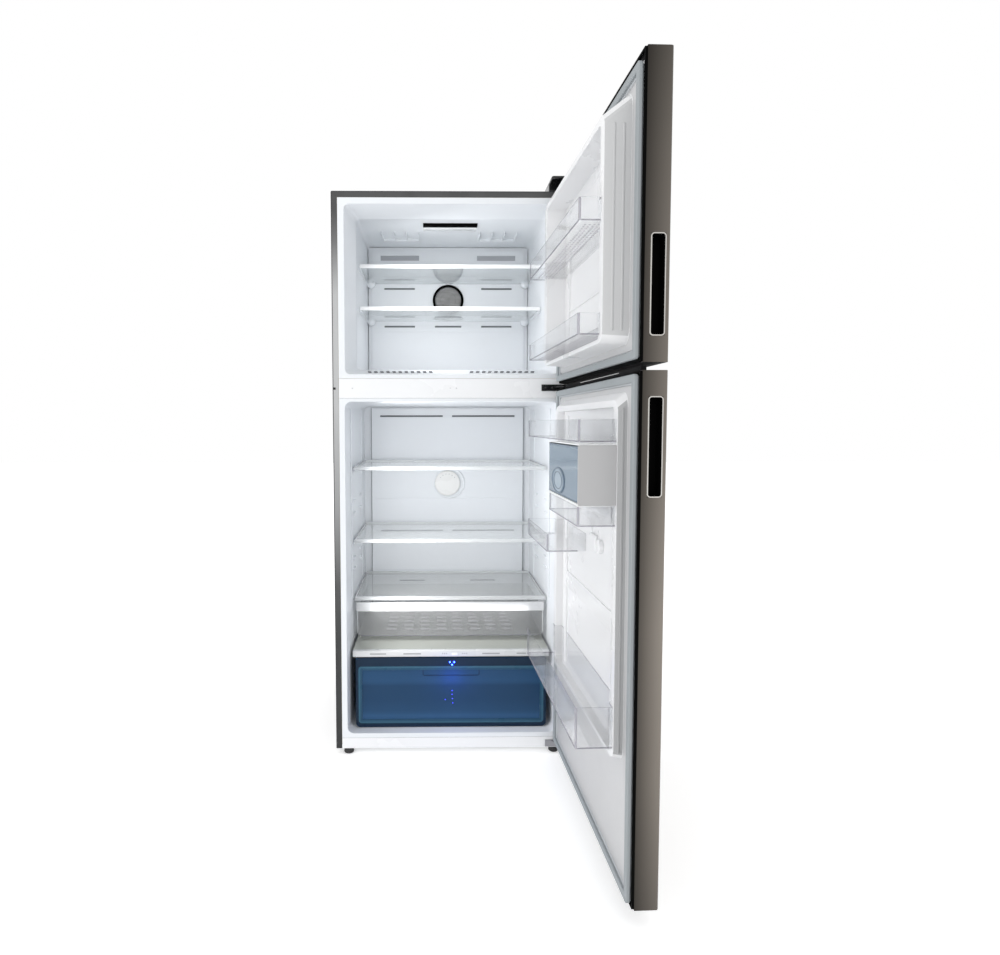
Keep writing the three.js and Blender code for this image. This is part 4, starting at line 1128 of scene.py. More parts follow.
@dataclass(frozen=True)
class FreezerRoom:
    """The freezer's liner, its back cover, the fan's cap, the lamp and two clear shelves."""

    wall: float = 2.0
    mouth: Rect = centred(313, (1148.2, 1640.4), 16, 0)
    throat: Rect = centred(287, (1167, 1619), 14, 75)
    rear: Rect = centred(279, (1167, 1619), 12, 509)
    teeth: tuple[float, ...] = tuple(58 + 18.2 * i for i in range(11))
    combs: tuple[float, ...] = (98.0, 138.0, 178.0, 218.0)
    posts: tuple[float, ...] = (1492.0, 1362.5)
    cover_half: float = 268.0
    cover_front: float = 392.0
    grooves: tuple[float, ...] = (1497.0, 1326.0)
    vents: tuple[tuple[Pair, float, float], ...] = (
        ((101, 236), 1581, 18), ((116, 224), 1475, 7), ((116, 224), 1344, 7),
    )
    middle_vent: tuple[Pair, Pair] = ((-47.0, 47.0), (1340.5, 1347.5))
    vent_deep: float = 3.4
    cap_centre: Point = (0.0, 392.0, 1434.0)
    cap: tuple[Pair, ...] = (
        (0, -8.5), (26, -8.5), (28, -7.6), (42, -7.6), (45, -6.6), (46.5, -4), (46.5, 0), (0, 0),
    )
    cap_rim: tuple[Pair, ...] = ((46.5, -6), (48, -7.6), (52.5, -7.6), (54, -6), (54, 0), (46.5, 0))

    def build(self) -> None:
        """Builds the room."""
        self.build_liner()
        self.build_cover()
        self.build_lamp()
        for level in ("upper", "lower"):
            self.build_shelf(level)

    def build_liner(self) -> None:
        """Builds the liner with its floor teeth, ceiling combs and shelf posts."""
        span = measured("freezer_liner", CABINET)
        flange = Rect(span.x, span.z, 1.0, 0)
        room = cabinet_piece("freezer_room")
        room.add(liner(flange, [self.mouth, self.throat, self.rear], self.wall), 2.2)
        for x in self.teeth:
            for side in (-1, 1):
                lean = 4.0 * side
                tooth = [
                    (side * x - 4.8, 1151), (side * x + 4.8, 1151),
                    (side * x + 4.8 + lean, 1159.4), (side * x - 4.8 + lean, 1159.4),
                ]
                room.add(prism(Axis.Y, tooth, (23, 40)), 0.4, paint=1)
        for side in (-1, 1):
            for x in self.combs:
                room.add(block((side * x - 1.3, side * x + 1.3), (208, 290), (1608.5, 1620)), 1.0)
            bars = sorted((side * self.combs[0], side * self.combs[-1]))
            room.add(block(bars, (286, 289), (1610.5, 1620)), 1.0)
        for z in self.posts:
            for x in (-268, 268):
                room.add(rod(Axis.Y, (x, 372, z - 3), 15, 19, 32), 3.0)
                room.add(dome(Axis.Y, (x, 372, z - 3), 11, -4.5), paint=0)
        for z in self.posts:
            for side in (-1, 1):
                ledge = block(sorted((side * 281, side * 288)), (140, 372), (z - 10, z - 4.6))
                room.add(ledge, 1.2)
        room.place("cabinet", [LINER, SHADOW], ("freezer_liner",))

    def build_cover(self) -> None:
        """Builds the vented back cover and the cap over the fan."""
        span = measured("freezer_back_cover", CABINET)
        cover = cabinet_piece("freezer_cover")
        border = Rect((span.x[0], span.x[1]), (span.z[0] + 1, span.z[1] - 1), 8, self.cover_front + 4)
        cover.add(lofted(Axis.Y, [border, border.grown(0, 3)]), 0.6)
        half = self.cover_half
        front = self.cover_front
        plate = block((-half, half), (front, front + 8), (span.z[0] + 6, span.z[1] - 12))
        # the vents' floors are painted grey and dark, as painted shade in the openings
        slotted(plate, [self.vents[0]], front, self.vent_deep, 2)
        slotted(plate, list(self.vents[1:]), front, self.vent_deep, 1)
        for face in recess(plate, *self.middle_vent, front, self.vent_deep):
            face.material_index = 1
        for z in self.grooves:
            recess(plate, (-half + 6, half - 6), (z - 0.8, z + 0.8), front, 0.9)
        cover.add(plate, 0.8, paint=-1)
        cover.place("cabinet", [LINER, SHADOW, SLOT_PAINTED_SHADE], ("freezer_back_cover",))
        cap = cabinet_piece("fan_cover")
        cap.add(turned(Axis.Y, self.cap_centre, list(self.cap)), 0.4)
        cap.add(turned(Axis.Y, self.cap_centre, list(self.cap_rim)), 0.3, paint=1)
        cap.place("cabinet", [CAP_STEEL, DEEP_BLACK], ("fan_cap",))

    def build_lamp(self) -> None:
        """Builds the lamp bar under the ceiling."""
        span = measured("freezer_lamp", CABINET)
        lamp = cabinet_piece("lamp_bar")
        lens = span.y[0] + 19
        lamp.add(block(span.x, (lens - 1, span.y[1]), (1613.4, 1619.2)), 1.4, paint=1)
        lamp.add(block(span.x, (span.y[0], lens), (span.z[0], 1619.2)), 1.2)
        lamp.add(block((-78, 78), (158, 180), (1612.6, 1614)), 0.5, paint=2)
        lamp.place("cabinet", [DEEP_BLACK, TRIM_WHITE, LENS], ("freezer_lamp",))

    def build_shelf(self, level: str) -> None:
        """Builds one clear shelf with its white front bar."""
        node = f"freezer_shelf_{level}"
        span = measured(node, CABINET)
        shelf = cabinet_piece(f"freezer_{level}_shelf")
        x0, x1 = span.x
        y0, y1 = span.y
        top = span.z[1]
        shelf.add(block((x0 + 0.5, x1 - 0.5), (y0 + 5, y1 - 3), (top - 6.5, top - 2.5)), 0.4)
        shelf.add(block((x0, x1), (y0, y0 + 6), (top - 12, top)), 2.4, paint=1, steps=3)
        shelf.add(block((x0 + 1, x1 - 1), (y1 - 3.5, y1), (top - 7.5, top)), 1.0)
        shelf.place("cabinet", [GLASS_UP, TRIM_WHITE], (node,))


# ---- the fridge room ----


@dataclass(frozen=True)
class FridgeRoom:
    """The fridge's liner, its air duct panel with the filter's seat, and three glass shelves."""

    wall: float = 2.0
    mouth: Rect = centred(315, (64.5, 1068), 20, 0)
    throat: Rect = centred(312, (64.5, 1068), 20, 40)
    rear: Rect = centred(308.5, (64.5, 1066), 18, 509)
    hump_front: float = 410.0
    hump_top: float = 275.0
    levels: tuple[float, ...] = (855.5, 760.0, 718.0, 623.5, 575.0, 540.0, 437.5)
    ledge_y: tuple[Pair, ...] = ((150, 192), (326, 368))
    panel_half: float = 281.0
    panel_front: float = 501.0
    crease: float = 725.0
    vents: tuple[tuple[Pair, float, float], ...] = (
        ((17, 250), 1031, 7), ((17, 250), 603.5, 6), ((84, 181), 414, 6),
    )
    seat: Point = (8.0, 501.0, 782.0)

    def build(self) -> None:
        """Builds the room."""
        self.build_liner()
        self.build_panel()
        self.build_filter()
        for level in ("top", "middle", "lower"):
            self.build_shelf(level)

    def build_liner(self) -> None:
        """Builds the liner with its ledges and the rise over the compressor bay."""
        span = measured("fridge_liner", CABINET)
        flange = Rect(span.x, span.z, 1.0, 0)
        room = cabinet_piece("fridge_room")
        room.add(liner(flange, [self.mouth, self.throat, self.rear], self.wall), 2.2)
        half = self.rear.a[1] - 0.5
        room.add(block((-half, half), (self.hump_front, 508), (65, self.hump_top)), 6.0, steps=3)
        for side in (-1, 1):
            for z in self.levels:
                for y in self.ledge_y:
                    slope = self.throat.a[1] - 3.5 * (y[0] - 40) / 469
                    room.add(block(sorted((side * (slope - 5), side * (slope + 1))), y, (z - 6, z)), 1.8)
            for y in (96, 398):
                room.add(block(sorted((side * 307.5, side * 311.5)), (y, y + 5), (455, 1050)), 1.6)
            # a dark strip in the gap beside the duct panel, as painted shade
            seam = block(sorted((side * 281.6, side * 283.4)), (501.6, 509), (278, 1060))
            room.add(seam, paint=1)
        room.place("cabinet", [LINER, SEAM_SHADE_AND_MARK_GREY], ("fridge_liner",))

    def build_panel(self) -> None:
        """Builds the air duct panel."""
        span = measured("fridge_air_duct", CABINET)
        half = self.panel_half
        panel = cabinet_piece("duct_panel")
        plate = block((-half, half), (self.panel_front, self.panel_front + 7.5), span.z)
        slotted(plate, list(self.vents), self.panel_front, 4, 1)
        recess(plate, (-half + 4, half - 4), (self.crease - 0.8, self.crease + 0.8), self.panel_front, 0.9)
        panel.add(plate, 0.9, paint=-1)
        ring = [(50.5, -3.2), (53.5, -4), (56.5, -3.2), (57.5, 0), (50.5, 0)]
        panel.add(turned(Axis.Y, self.seat, ring, 64), 0.5)
        panel.place("cabinet", [LINER, SHADOW], ("fridge_air_duct",))

    def build_filter(self) -> None:
        """Builds the round cap that turns over the filter."""
        span = measured("filter_cap", CABINET)
        centre = (sum(span.x) / 2, span.y[0], sum(span.z) / 2)
        radius = (span.x[1] - span.x[0]) / 2
        cap = cabinet_piece("filter_cover")
        profile = [
            (0, 0), (radius - 5, 0), (radius - 4, 1.0), (radius - 2.6, 0.4), (radius, 2.6), (radius, 9.6),
            (0, 9.6),
        ]
        cap.add(turned(Axis.Y, centre, profile, 64), 0.4)
        hoop = [(radius - 3, 0), (radius + 0.4, 0), (radius + 0.4, 1), (radius - 3, 1)]
        edge = turned(Axis.Y, (centre[0], centre[1] + 8.2, centre[2]), hoop, 64)
        cap.add(edge, paint=1)
        turns = [math.radians(40 + 20 * i) for i in range(6)]
        dots = [(math.cos(turn) * 34, 0, math.sin(turn) * 34) for turn in turns]
        cap.add(dome(Axis.Y, (centre[0], centre[1] + 0.1, centre[2]), 1.5, -0.5, 12), paint=1, at=dots)
        cap.place("filter_cap", [CAP_WHITE, SEAM_SHADE_AND_MARK_GREY], ("filter_cap",))

    def build_shelf(self, level: str) -> None:
        """Builds one glass shelf with its front and rear trims."""
        nodes = (f"fridge_shelf_{level}_frame", f"fridge_shelf_{level}_glass")
        span = measured(nodes[0], CABINET)
        x0, x1 = span.x
        y0, y1 = span.y
        top = span.z[1]
        shelf = cabinet_piece(f"fridge_{level}_shelf")
        shelf.add(block((x0, x1), (y0, y0 + 13), (top - 12, top)), 3.0, paint=0, steps=3)
        shelf.add(block((x0 + 4, x1 - 4), (y1 - 10, y1), (top - 9, top + 2)), 2.0)
        for x in ((x0, x0 + 5), (x1 - 5, x1)):
            shelf.add(block(x, (y0 + 12, y1 - 8), (top - 10, top - 0.4)), 0.8)
            middle = sum(x) / 2
            # thin lines on the sides and along the front are painted with the dark edge tint, as painted
            # shade
            line = block((middle - 0.9, middle + 0.9), (y0 + 13, y1 - 9), (top - 1, top + 0.4))
            shelf.add(line, 0.3, paint=1)
        shelf.add(block((x0 + 8, x1 - 8), (y0 + 13.2, y0 + 14.6), (top - 1.6, top - 0.3)), 0.2, paint=1)
        shelf.place("cabinet", [TRIM_CLEAR, CLEAR_EDGE_PAINTED_SHADE], (nodes[0],))
        glass = cabinet_piece(f"fridge_{level}_glass")
        glass.add(block((x0 + 5, x1 - 5), (y0 + 13, y1 - 9), (top - 5.4, top - 1.4)), 0.4)
        glass.place("cabinet", [GLASS], (nodes[1],))


@dataclass(frozen=True)
class ChillerTray:
    """The clear tray under the lower shelf: a tub with a tiled floor and a white front bar."""

    wall: float = 2.6
    bar_low: float = 402.0
    bar_deep: float = 9.0
    tub_top: float = 409.0
    tile: Point = (34.0, 26.0, 1.6)
    columns: int = 8
    rows: int = 6

    def build(self) -> None:
        """Builds the tray."""
        span = measured("chiller_tray", CABINET)
        x0, x1 = span.x
        y0, y1 = span.y
        tray = cabinet_piece("chill_tray")
        outline = [(x0 + 3, span.z[0]), (x1 - 3, span.z[0]), (x1 - 3, self.tub_top), (x0 + 3, self.tub_top)]
        tub = prism(Axis.Y, outline, (y0 + 1.5, y1), {0: 12, 1: 12})
        tray.add(hollowed(tub, UP, self.wall, self.wall), 0.8)
        bar = block((x0, x1), (y0, y0 + self.bar_deep), (self.bar_low, span.z[1]))
        tray.add(bar, 2.2, paint=1, steps=3)
        self.add_floor(tray, span)
        self.add_lines(tray, span)
        tray.place("chiller_tray", [TRAY_CLEAR, SOFT_WHITE, CLEAR_EDGE_PAINTED_SHADE, TILE_CLEAR], ("chiller_tray",))

    def add_floor(self, tray: Piece, span: Span) -> None:
        """Adds the raised tiles of the floor."""
        wide, deep, high = self.tile
        pitch = (wide + 21, deep + 17)
        first = (-pitch[0] * (self.columns - 1) / 2, span.y[0] + 66)
        low = span.z[0] + self.wall - 0.1
        sides = [(at - size / 2, at + size / 2) for at, size in zip(first, (wide, deep))]
        tile = Rect(*sides, 10, low)
        spots = [(pitch[0] * i, pitch[1] * j, 0) for i in range(self.columns) for j in range(self.rows)]
        tray.add(lofted(Axis.Z, [tile, tile.grown(0, high * 0.4), tile.grown(-3, high)]), at=spots, paint=3)

    def add_lines(self, tray: Piece, span: Span) -> None:
        """Adds the thick edges that read as darker lines; the one along the foot is painted with the dark
        edge tint as painted shade.
        """
        x0, x1 = span.x
        y0 = span.y[0]
        foot = block((x0 + 14, x1 - 14), (y0 + 0.8, y0 + 3.2), (span.z[0], span.z[0] + 2.2))
        tray.add(foot, 0.6, paint=2)
        for x in (x0 + 3, x1 - 5):
            tray.add(block((x, x + 2), (y0 + 1, y0 + 3.2), (span.z[0] + 12, self.bar_low)), 0.6, paint=1)


@dataclass(frozen=True)
class CrisperLid:
    """The cover over the crisper: a white frame, a pane, and the humidity slider in its front."""

    front_deep: float = 19.0
    border: float = 16.0
    dashes: tuple[Pair, ...] = ((-250, -200), (-147, -93), (96, 150), (202, 232))
    ticks: tuple[float, ...] = (-26.0, -20.0, -14.0, 36.0, 42.0, 48.0)

    def build(self) -> None:
        """Builds the frame, the pane and the slider."""
        span = measured("crisper_lid_frame", CABINET)
        x0, x1 = span.x
        y0, y1 = span.y
        low, top = span.z
        lid = cabinet_piece("lid_frame")
        lid.add(block((x0, x1), (y0, y0 + self.front_deep), (low, top)), 3.0, steps=3)
        for x in ((x0, x0 + self.border), (x1 - self.border, x1)):
            lid.add(block(x, (y0 + self.front_deep - 1, y1), (low + 11, top)), 0.4, paint=2)
        lid.add(block((x0 + 2, x1 - 2), (y1 - self.border, y1), (low + 11, top)), 0.4, paint=2)
        middle = (low + top) / 2
        for x in self.dashes:
            lid.add(block(x, (y0 - 0.15, y0 + 1), (middle - 1.6, middle + 2.4)), 0.3, paint=1)
        for x in self.ticks:
            lid.add(rod(Axis.Y, (x, y0 - 0.2, middle + 1), 1.6, 1, 12), paint=1)
        lid.place("cabinet", [SOFT_WHITE, TICK_GREY, LID_GLASS], ("crisper_lid_frame",))
        pane = cabinet_piece("lid_pane")
        inner = (x0 + self.border, x1 - self.border)
        pane.add(block(inner, (y0 + self.front_deep, y1 - self.border), (top - 4.4, top)), 0.2)
        pane.place("cabinet", [LID_GLASS], ("crisper_lid_glass",))
        self.build_slider()

    def build_slider(self) -> None:
        """Builds the slider's knob."""
        span = measured("humidity_slider", CABINET)
        slider = cabinet_piece("slider_knob")
        back = measured("crisper_lid_frame", CABINET).y[0] - 0.4
        slider.add(block(span.x, (span.y[0], min(span.y[0] + 3.5, back)), span.z), 0.6, steps=3)
        middle = sum(span.x) / 2
        front = span.y[0]
        tall = (span.z[0] + 1.4, span.z[1] - 1.4)
        rib = block((middle - 0.6, middle + 0.6), (front - 0.5, front + 0.5), tall)
        slider.add(rib, 0.3, at=[(-3, 0, 0), (0, 0, 0), (3, 0, 0)])
        slider.place("humidity_slider", [TRIM_WHITE], ("humidity_slider",))


@dataclass(frozen=True)
class Crisper:
    """The blue drawer: a tub with painted light and shade by height, the dark border of its front, two
    bands of painted light inside it, a pull, a cluster of lights and painted glints below them.
    """

    wall: float = 3.0
    corner: float = 14.0
    band: Pair = (78.0, 257.0)
    side: float = 8.0
    pull: Pair = (-88.0, 88.0)
    pull_z: Pair = (226.0, 252.0)
    lights: tuple[Pair, ...] = ((-3.5, 269.5), (9.5, 269.5), (3.0, 261.5))
    painted_glints: tuple[Pair, ...] = ((3.0, 179.0), (3.0, 167.5), (4.0, 154.0), (5.0, 140.0), (-18.0, 151.0))

    def build(self) -> None:
        """Builds the drawer."""
        span = measured("crisper_drawer", CABINET)
        x0, x1 = span.x
        y0, y1 = span.y
        low, top = span.z
        drawer = cabinet_piece("crisper_tub")
        outline = [(x0 + 3, low), (x1 - 3, low), (x1, top - 0.2), (x0, top - 0.2)]
        tub = prism(Axis.Y, outline, (y0 + 2, y1), {0: self.corner, 1: self.corner})
        drawer.add(hollowed(tub, UP, self.wall, self.wall), 1.5)
        outer = Rect((x0, x1), (low, top - 0.4), self.corner, y0)
        inner = Rect((x0 + self.side, x1 - self.side), self.band, self.corner - 4, y0)
        drawer.add(frame_ring(outer, inner, 3.4), 0.8, paint=1)
        # two bands inside the window's edge are painted lighter, as painted light
        for by, paint in ((0, 3), (-6, 4)):
            drawer.add(frame_ring(inner.grown(by), inner.grown(by - 6), 2.4), 0.4, paint=paint)
        self.add_pull(drawer, y0)
        for x, z in self.lights:
            drawer.add(dome(Axis.Y, (x, y0, z), 2.3, -0.6, 12), paint=2)
        # small glowing dots below the lights are painted glints, not lamps
        for x, z in self.painted_glints:
            drawer.add(dome(Axis.Y, (x, y0 + 2, z), 1.4, -0.5, 8), paint=6)
        finishes = [CRISPER_BLUE_PAINTED_SHADE, CRISPER_NAVY, BLUE_LIGHT, CRISPER_EDGE_PAINTED_LIGHT, CRISPER_MID_PAINTED_LIGHT, CRISPER_LINE, PAINTED_GLINT]
        drawer.place("crisper", finishes, ("crisper_drawer",))

    def add_pull(self, drawer: Piece, front: float) -> None:
        """Adds the outline of the pull on the window."""
        mouth = Rect(self.pull, self.pull_z, 7, front + 1.4)
        drawer.add(frame_ring(mouth, mouth.grown(-3), 1.4), 0.3, paint=5)


# ---- the doors, drawn shut ----


@dataclass(frozen=True)
class Leaf:
    """The sizes of one door, and the finish of its ring's side, a grey copy of the liner's white that is
    painted shade.
    """

    name: str
    ring: Finish
    z: Pair
    seal: Pair
    grip: Pair
    ring_root: Pair
    ring_face: Pair
    face: float
    flutes: tuple[Pair, ...]  # place in the depth, and how far its ends stay from the ring's ends


@dataclass(frozen=True)
class DoorBuild:
    """How a door is made: a folded skin, two end caps, a grip, an inner panel and a seal."""

    leaf: Leaf
    half: float = 350.0
    outer: float = -64.4
    inner: float = -15.0
    sheet: float = 1.5
    fold: float = 14.0
    corner: float = 6.0
    cap: float = 14.0
    grip_y: Pair = (-55.0, -27.0)
    grip_deep: float = 28.0
    panel_half: float = 318.0
    panel_face: float = -8.0
    ring_half: float = 290.0
    ring_wide: float = 28.0
    seal_half: float = 343.0
    ridge: Pair = (-332.0, 290.0)
    painted_highlight: Pair = (-200.0, 120.0)
    ridge_high: float = 9.5
    painted_shade_tones: Pair = (0.5, 1.62)  # painted shade and light on the steel, at its inner and at its outer edge

    @property
    def axes(self) -> Matrix:
        """Gives the axes that the door is drawn on."""
        return SHUT[self.leaf.name]

    @property
    def body(self) -> str:
        """Gives the name of the door's body."""
        return f"{self.leaf.name}_door"

    def build(self) -> None:
        """Builds the door without its bins."""
        self.build_skin()
        self.build_caps()
        self.build_grip()
        self.build_panel()
        self.build_seal()

    def build_skin(self) -> None:
        """Builds the folded steel skin, with the window for the grip."""
        half, fold, sheet = self.half, self.half - self.fold, self.sheet
        y0, y1 = self.outer, self.inner
        points = [
            (-fold, y1), (-half, y1), (-half, y0), (half, y0), (half, y1), (fold, y1), (fold, y1 - sheet),
            (half - sheet, y1 - sheet), (half - sheet, y0 + sheet), (sheet - half, y0 + sheet),
            (sheet - half, y1 - sheet), (-fold, y1 - sheet),
        ]
        rounds = {2: self.corner, 3: self.corner, 8: self.corner - sheet, 9: self.corner - sheet}
        skin = prism(Axis.Z, points, self.leaf.z, rounds)
        bmesh.ops.recalc_face_normals(skin, faces=list(skin.faces))
        windowed(skin, (-half, sheet - half), self.grip_y, self.leaf.grip)
        piece = Piece(f"{self.body}_shell", self.axes)
        piece.add(skin, 0.5)
        # the steel is painted darker towards its inner edge and lighter towards its outer edge, as painted
        # shade and light
        inner, outer = (self.axes @ Vector((0, y, 0)) for y in (self.inner, self.outer))
        way = (outer - inner).normalized()
        painted_shade_along = (tuple(way), (inner.dot(way), outer.dot(way)), self.painted_shade_tones)
        steel = replace(DOOR_STEEL_PAINTED_REFLECTION, name=f"{self.body}_steel", painted_shade_along=painted_shade_along)
        piece.place(self.body, [steel], (f"{self.body}_skin",))

    def build_caps(self) -> None:
        """Builds the end caps."""
        for end, z in (("top", self.leaf.z[1] - self.cap), ("bottom", self.leaf.z[0])):
            half = self.half - self.sheet - 0.3
            y0, y1 = self.outer + self.sheet + 0.3, self.inner - self.sheet - 0.3
            outline = [(-half, y1), (-half, y0), (half, y0), (half, y1)]
            cap = Piece(f"{self.body}_{end}_end", self.axes)
            cap.add(prism(Axis.Z, outline, (z, z + self.cap), {1: self.corner, 2: self.corner}), 1.0)
            if self.leaf.name == "fridge" and end == "top":
                self.add_shade_ridge(cap, y1, z + self.cap)
            cap.place(self.body, [CAP_BLACK, STEEL_EDGE], (f"{self.body}_{end}_cap",))

    def add_shade_ridge(self, cap: Piece, back: float, top: float) -> None:
        """Adds a dark ridge that fills the gap to the door above, where shade falls, with a painted
        highlight along it.

        Args:
            cap: the end cap.
            back: the cap's inner side.
            top: the cap's height.
        """
        cap.add(block(self.ridge, (back - 12, back), (top - 1, top + self.ridge_high)), 1.5)
        cap.add(block(self.painted_highlight, (back - 0.5, back + 0.8), (top + 4, top + 6)), 0.4, paint=1)

    def build_grip(self) -> None:
        """Builds the pocket that the door is pulled by, with its bright frame."""
        y0, y1 = self.grip_y
        z0, z1 = self.leaf.grip
        mouth = Rect((y0 + 0.2, y1 - 0.2), (z0 + 0.2, z1 - 0.2), 6, -self.half)
        grip = Piece(f"{self.body}_grip", self.axes)
        room = mouth.grown(-1.8)
        deep = self.grip_deep
        grip.add(lofted(Axis.X, [
            room.grown(-2, deep - 2), room.grown(0, deep - 6), room.grown(0, 0.4), mouth.grown(0, 0.4),
            mouth.grown(0, deep - 5), mouth.grown(-2, deep),
        ]), 0.4)
        rim = mouth.grown(1.3)
        grip.add(lofted(Axis.X, [
            rim.grown(0, 0.2), rim.grown(-0.6, -0.8), room.grown(0.6, -0.8), room.grown(0, 0.4),
            room.grown(1, 0.8), rim.grown(0, 0.8),
        ], ring=True), paint=1)
        grip.place(self.body, [DEEP_BLACK, STEEL_EDGE], (f"{self.body}_handle_pocket",))

    def build_panel(self) -> None:
        """Builds the inner panel with its raised field and the ring that holds the bins."""
        leaf = self.leaf
        piece = Piece(f"{self.body}_panel", self.axes)
        solid = eased(self.panel_solid(), 2.6, 3)
        low, high = leaf.ring_root
        for face in solid.faces:
            middle = face.calc_center_median()
            on_ring = middle.y > self.panel_face + 1 and low - 1 < middle.z < high + 1
            outside = abs(middle.x) > self.ring_half or not low < middle.z < high
            # the ring's handle side and the field round it get grey copies of the liner's white, as painted
            # shade
            face.material_index = 2 * int(on_ring and middle.x < 3 - self.ring_half)
            if outside and middle.y < self.panel_face + 0.6:
                face.material_index = 3
        piece.add(solid, paint=-1)
        side = -self.ring_half
        for at, gap in leaf.flutes:
            length = (leaf.ring_face[0] + gap, leaf.ring_face[1] - gap)
            bead = Rect((at - 2.6, at + 2.6), length, 2.5, side - 1.4)
            flute = lofted(Axis.X, [bead.grown(-1.4), bead.grown(-0.4, 0.5), bead.grown(0, 3.2)])
            piece.add(flute, paint=2)
        # a black ledge between the skin and the seal stands in for the shadow gap there, as painted shadow
        ledge = centred(self.half - 0.8, (leaf.z[0] + 1, leaf.z[1] - 1), 4, self.inner - 0.2)
        piece.add(frame_ring(ledge, ledge.grown(-5.5), 4.6), 0.6, paint=1)
        self.add_details(piece)
        piece.place(self.body, [DOOR_LINER, DEEP_BLACK, leaf.ring, FIELD_PAINTED_SHADE], (f"{self.body}_liner",))

    def panel_solid(self) -> bmesh.types.BMesh:
        """Gives the inner panel as one closed solid."""
        leaf = self.leaf
        edge = centred(self.half - 1.8, (leaf.z[0] + self.cap + 0.3, leaf.z[1] - self.cap - 0.3), 3, -17)
        inset = 20.0
        field = centred(self.panel_half, (leaf.seal[0] + inset, leaf.seal[1] - inset), 14, self.panel_face)
        root = centred(self.ring_half, leaf.ring_root, 30, self.panel_face)
        top = centred(self.ring_half, leaf.ring_face, 30, leaf.face)
        inner_half = self.ring_half - self.ring_wide
        inner_z = (leaf.ring_root[0] + 12, leaf.ring_face[1] - 14)
        hole = centred(inner_half, inner_z, 10, leaf.face)
        floor = centred(inner_half, inner_z, 10, self.panel_face)
        return lofted(Axis.Y, [
            floor, hole, top, root, field, field.grown(2, -9), edge, edge.grown(0, -2),
        ])

    def add_details(self, piece: Piece) -> None:
        """Adds the mouldings of the panel inside the ring."""
        face = self.panel_face
        z0, z1 = self.leaf.ring_face
        for x in (-228, 206):
            piece.add(block((x, x + 22), (face - 1, face + 4), (z0 + 22, z1 - 26)), 2.0)
        if self.leaf.name == "fridge":
            piece.add(block((-204, 204), (face - 1, face + 3), (556, 600)), 2.2)
            knob = rod(Axis.Y, (-120, face - 1, 726), 16, 12, 40)
            piece.add(knob, 3.0)
            piece.add(block((-90, -40), (face - 1, face + 8), (706, 746)), 3.0)
        else:
            piece.add(block((-204, 204), (face - 1, face + 3), (1300, 1306)), 2.0)
            piece.add(block((-204, 204), (face - 1, face + 4), (1462, 1560)), 2.6)

    def build_seal(self) -> None:
        """Builds the seal: a closed bellows with a lip on its inner side that is painted lighter, as
        painted light.
        """
        leaf = self.leaf
        outer = centred(self.seal_half, leaf.seal, 7, 0)
        loops = [
            (-5, -14.6), (-5, -12.8), (-3.4, -11.6), (-5, -10.6), (-0.6, -9.0), (0, -7.6), (0, -2.2),
            (-1.2, -0.8), (-14.6, -0.8), (-16, -2.2), (-16, -7.6), (-15, -9.0), (-11, -10.6),
            (-12.4, -11.6), (-11, -12.8), (-11, -14.6),
        ]
        piece = Piece(f"{self.body}_seal", self.axes)
        piece.add(lofted(Axis.Y, [outer.grown(by, at) for by, at in loops], ring=True))
        lip = [(-15.8, -9.4), (-15.8, -6.4), (-19.2, -8.2), (-19.6, -9.6)]
        piece.add(lofted(Axis.Y, [outer.grown(by, at) for by, at in lip], ring=True), paint=1)
        piece.place(self.body, [SEAL, SEAL_LIP_PAINTED_LIGHT], (f"{self.body}_gasket",))


def windowed(bm: bmesh.types.BMesh, x: Pair, y: Pair, z: Pair) -> None:
    """Cuts a square window through a wall that stands across x.

    Args:
        bm: the solid.
        x: where the wall's two faces are.
        y: the window's span in the depth.
        z: the window's span upwards.
    """
    faces = scored(bm, (-math.inf, y[0], z[0]), (math.inf, y[1], z[1]))
    gone = [f for f in faces if x[0] - 0.1 < f.calc_center_median().x < x[1] + 0.1]
    bmesh.ops.delete(bm, geom=gone, context="FACES")
    bmesh.ops.bridge_loops(bm, edges=[e for e in bm.edges if len(e.link_faces) == 1])


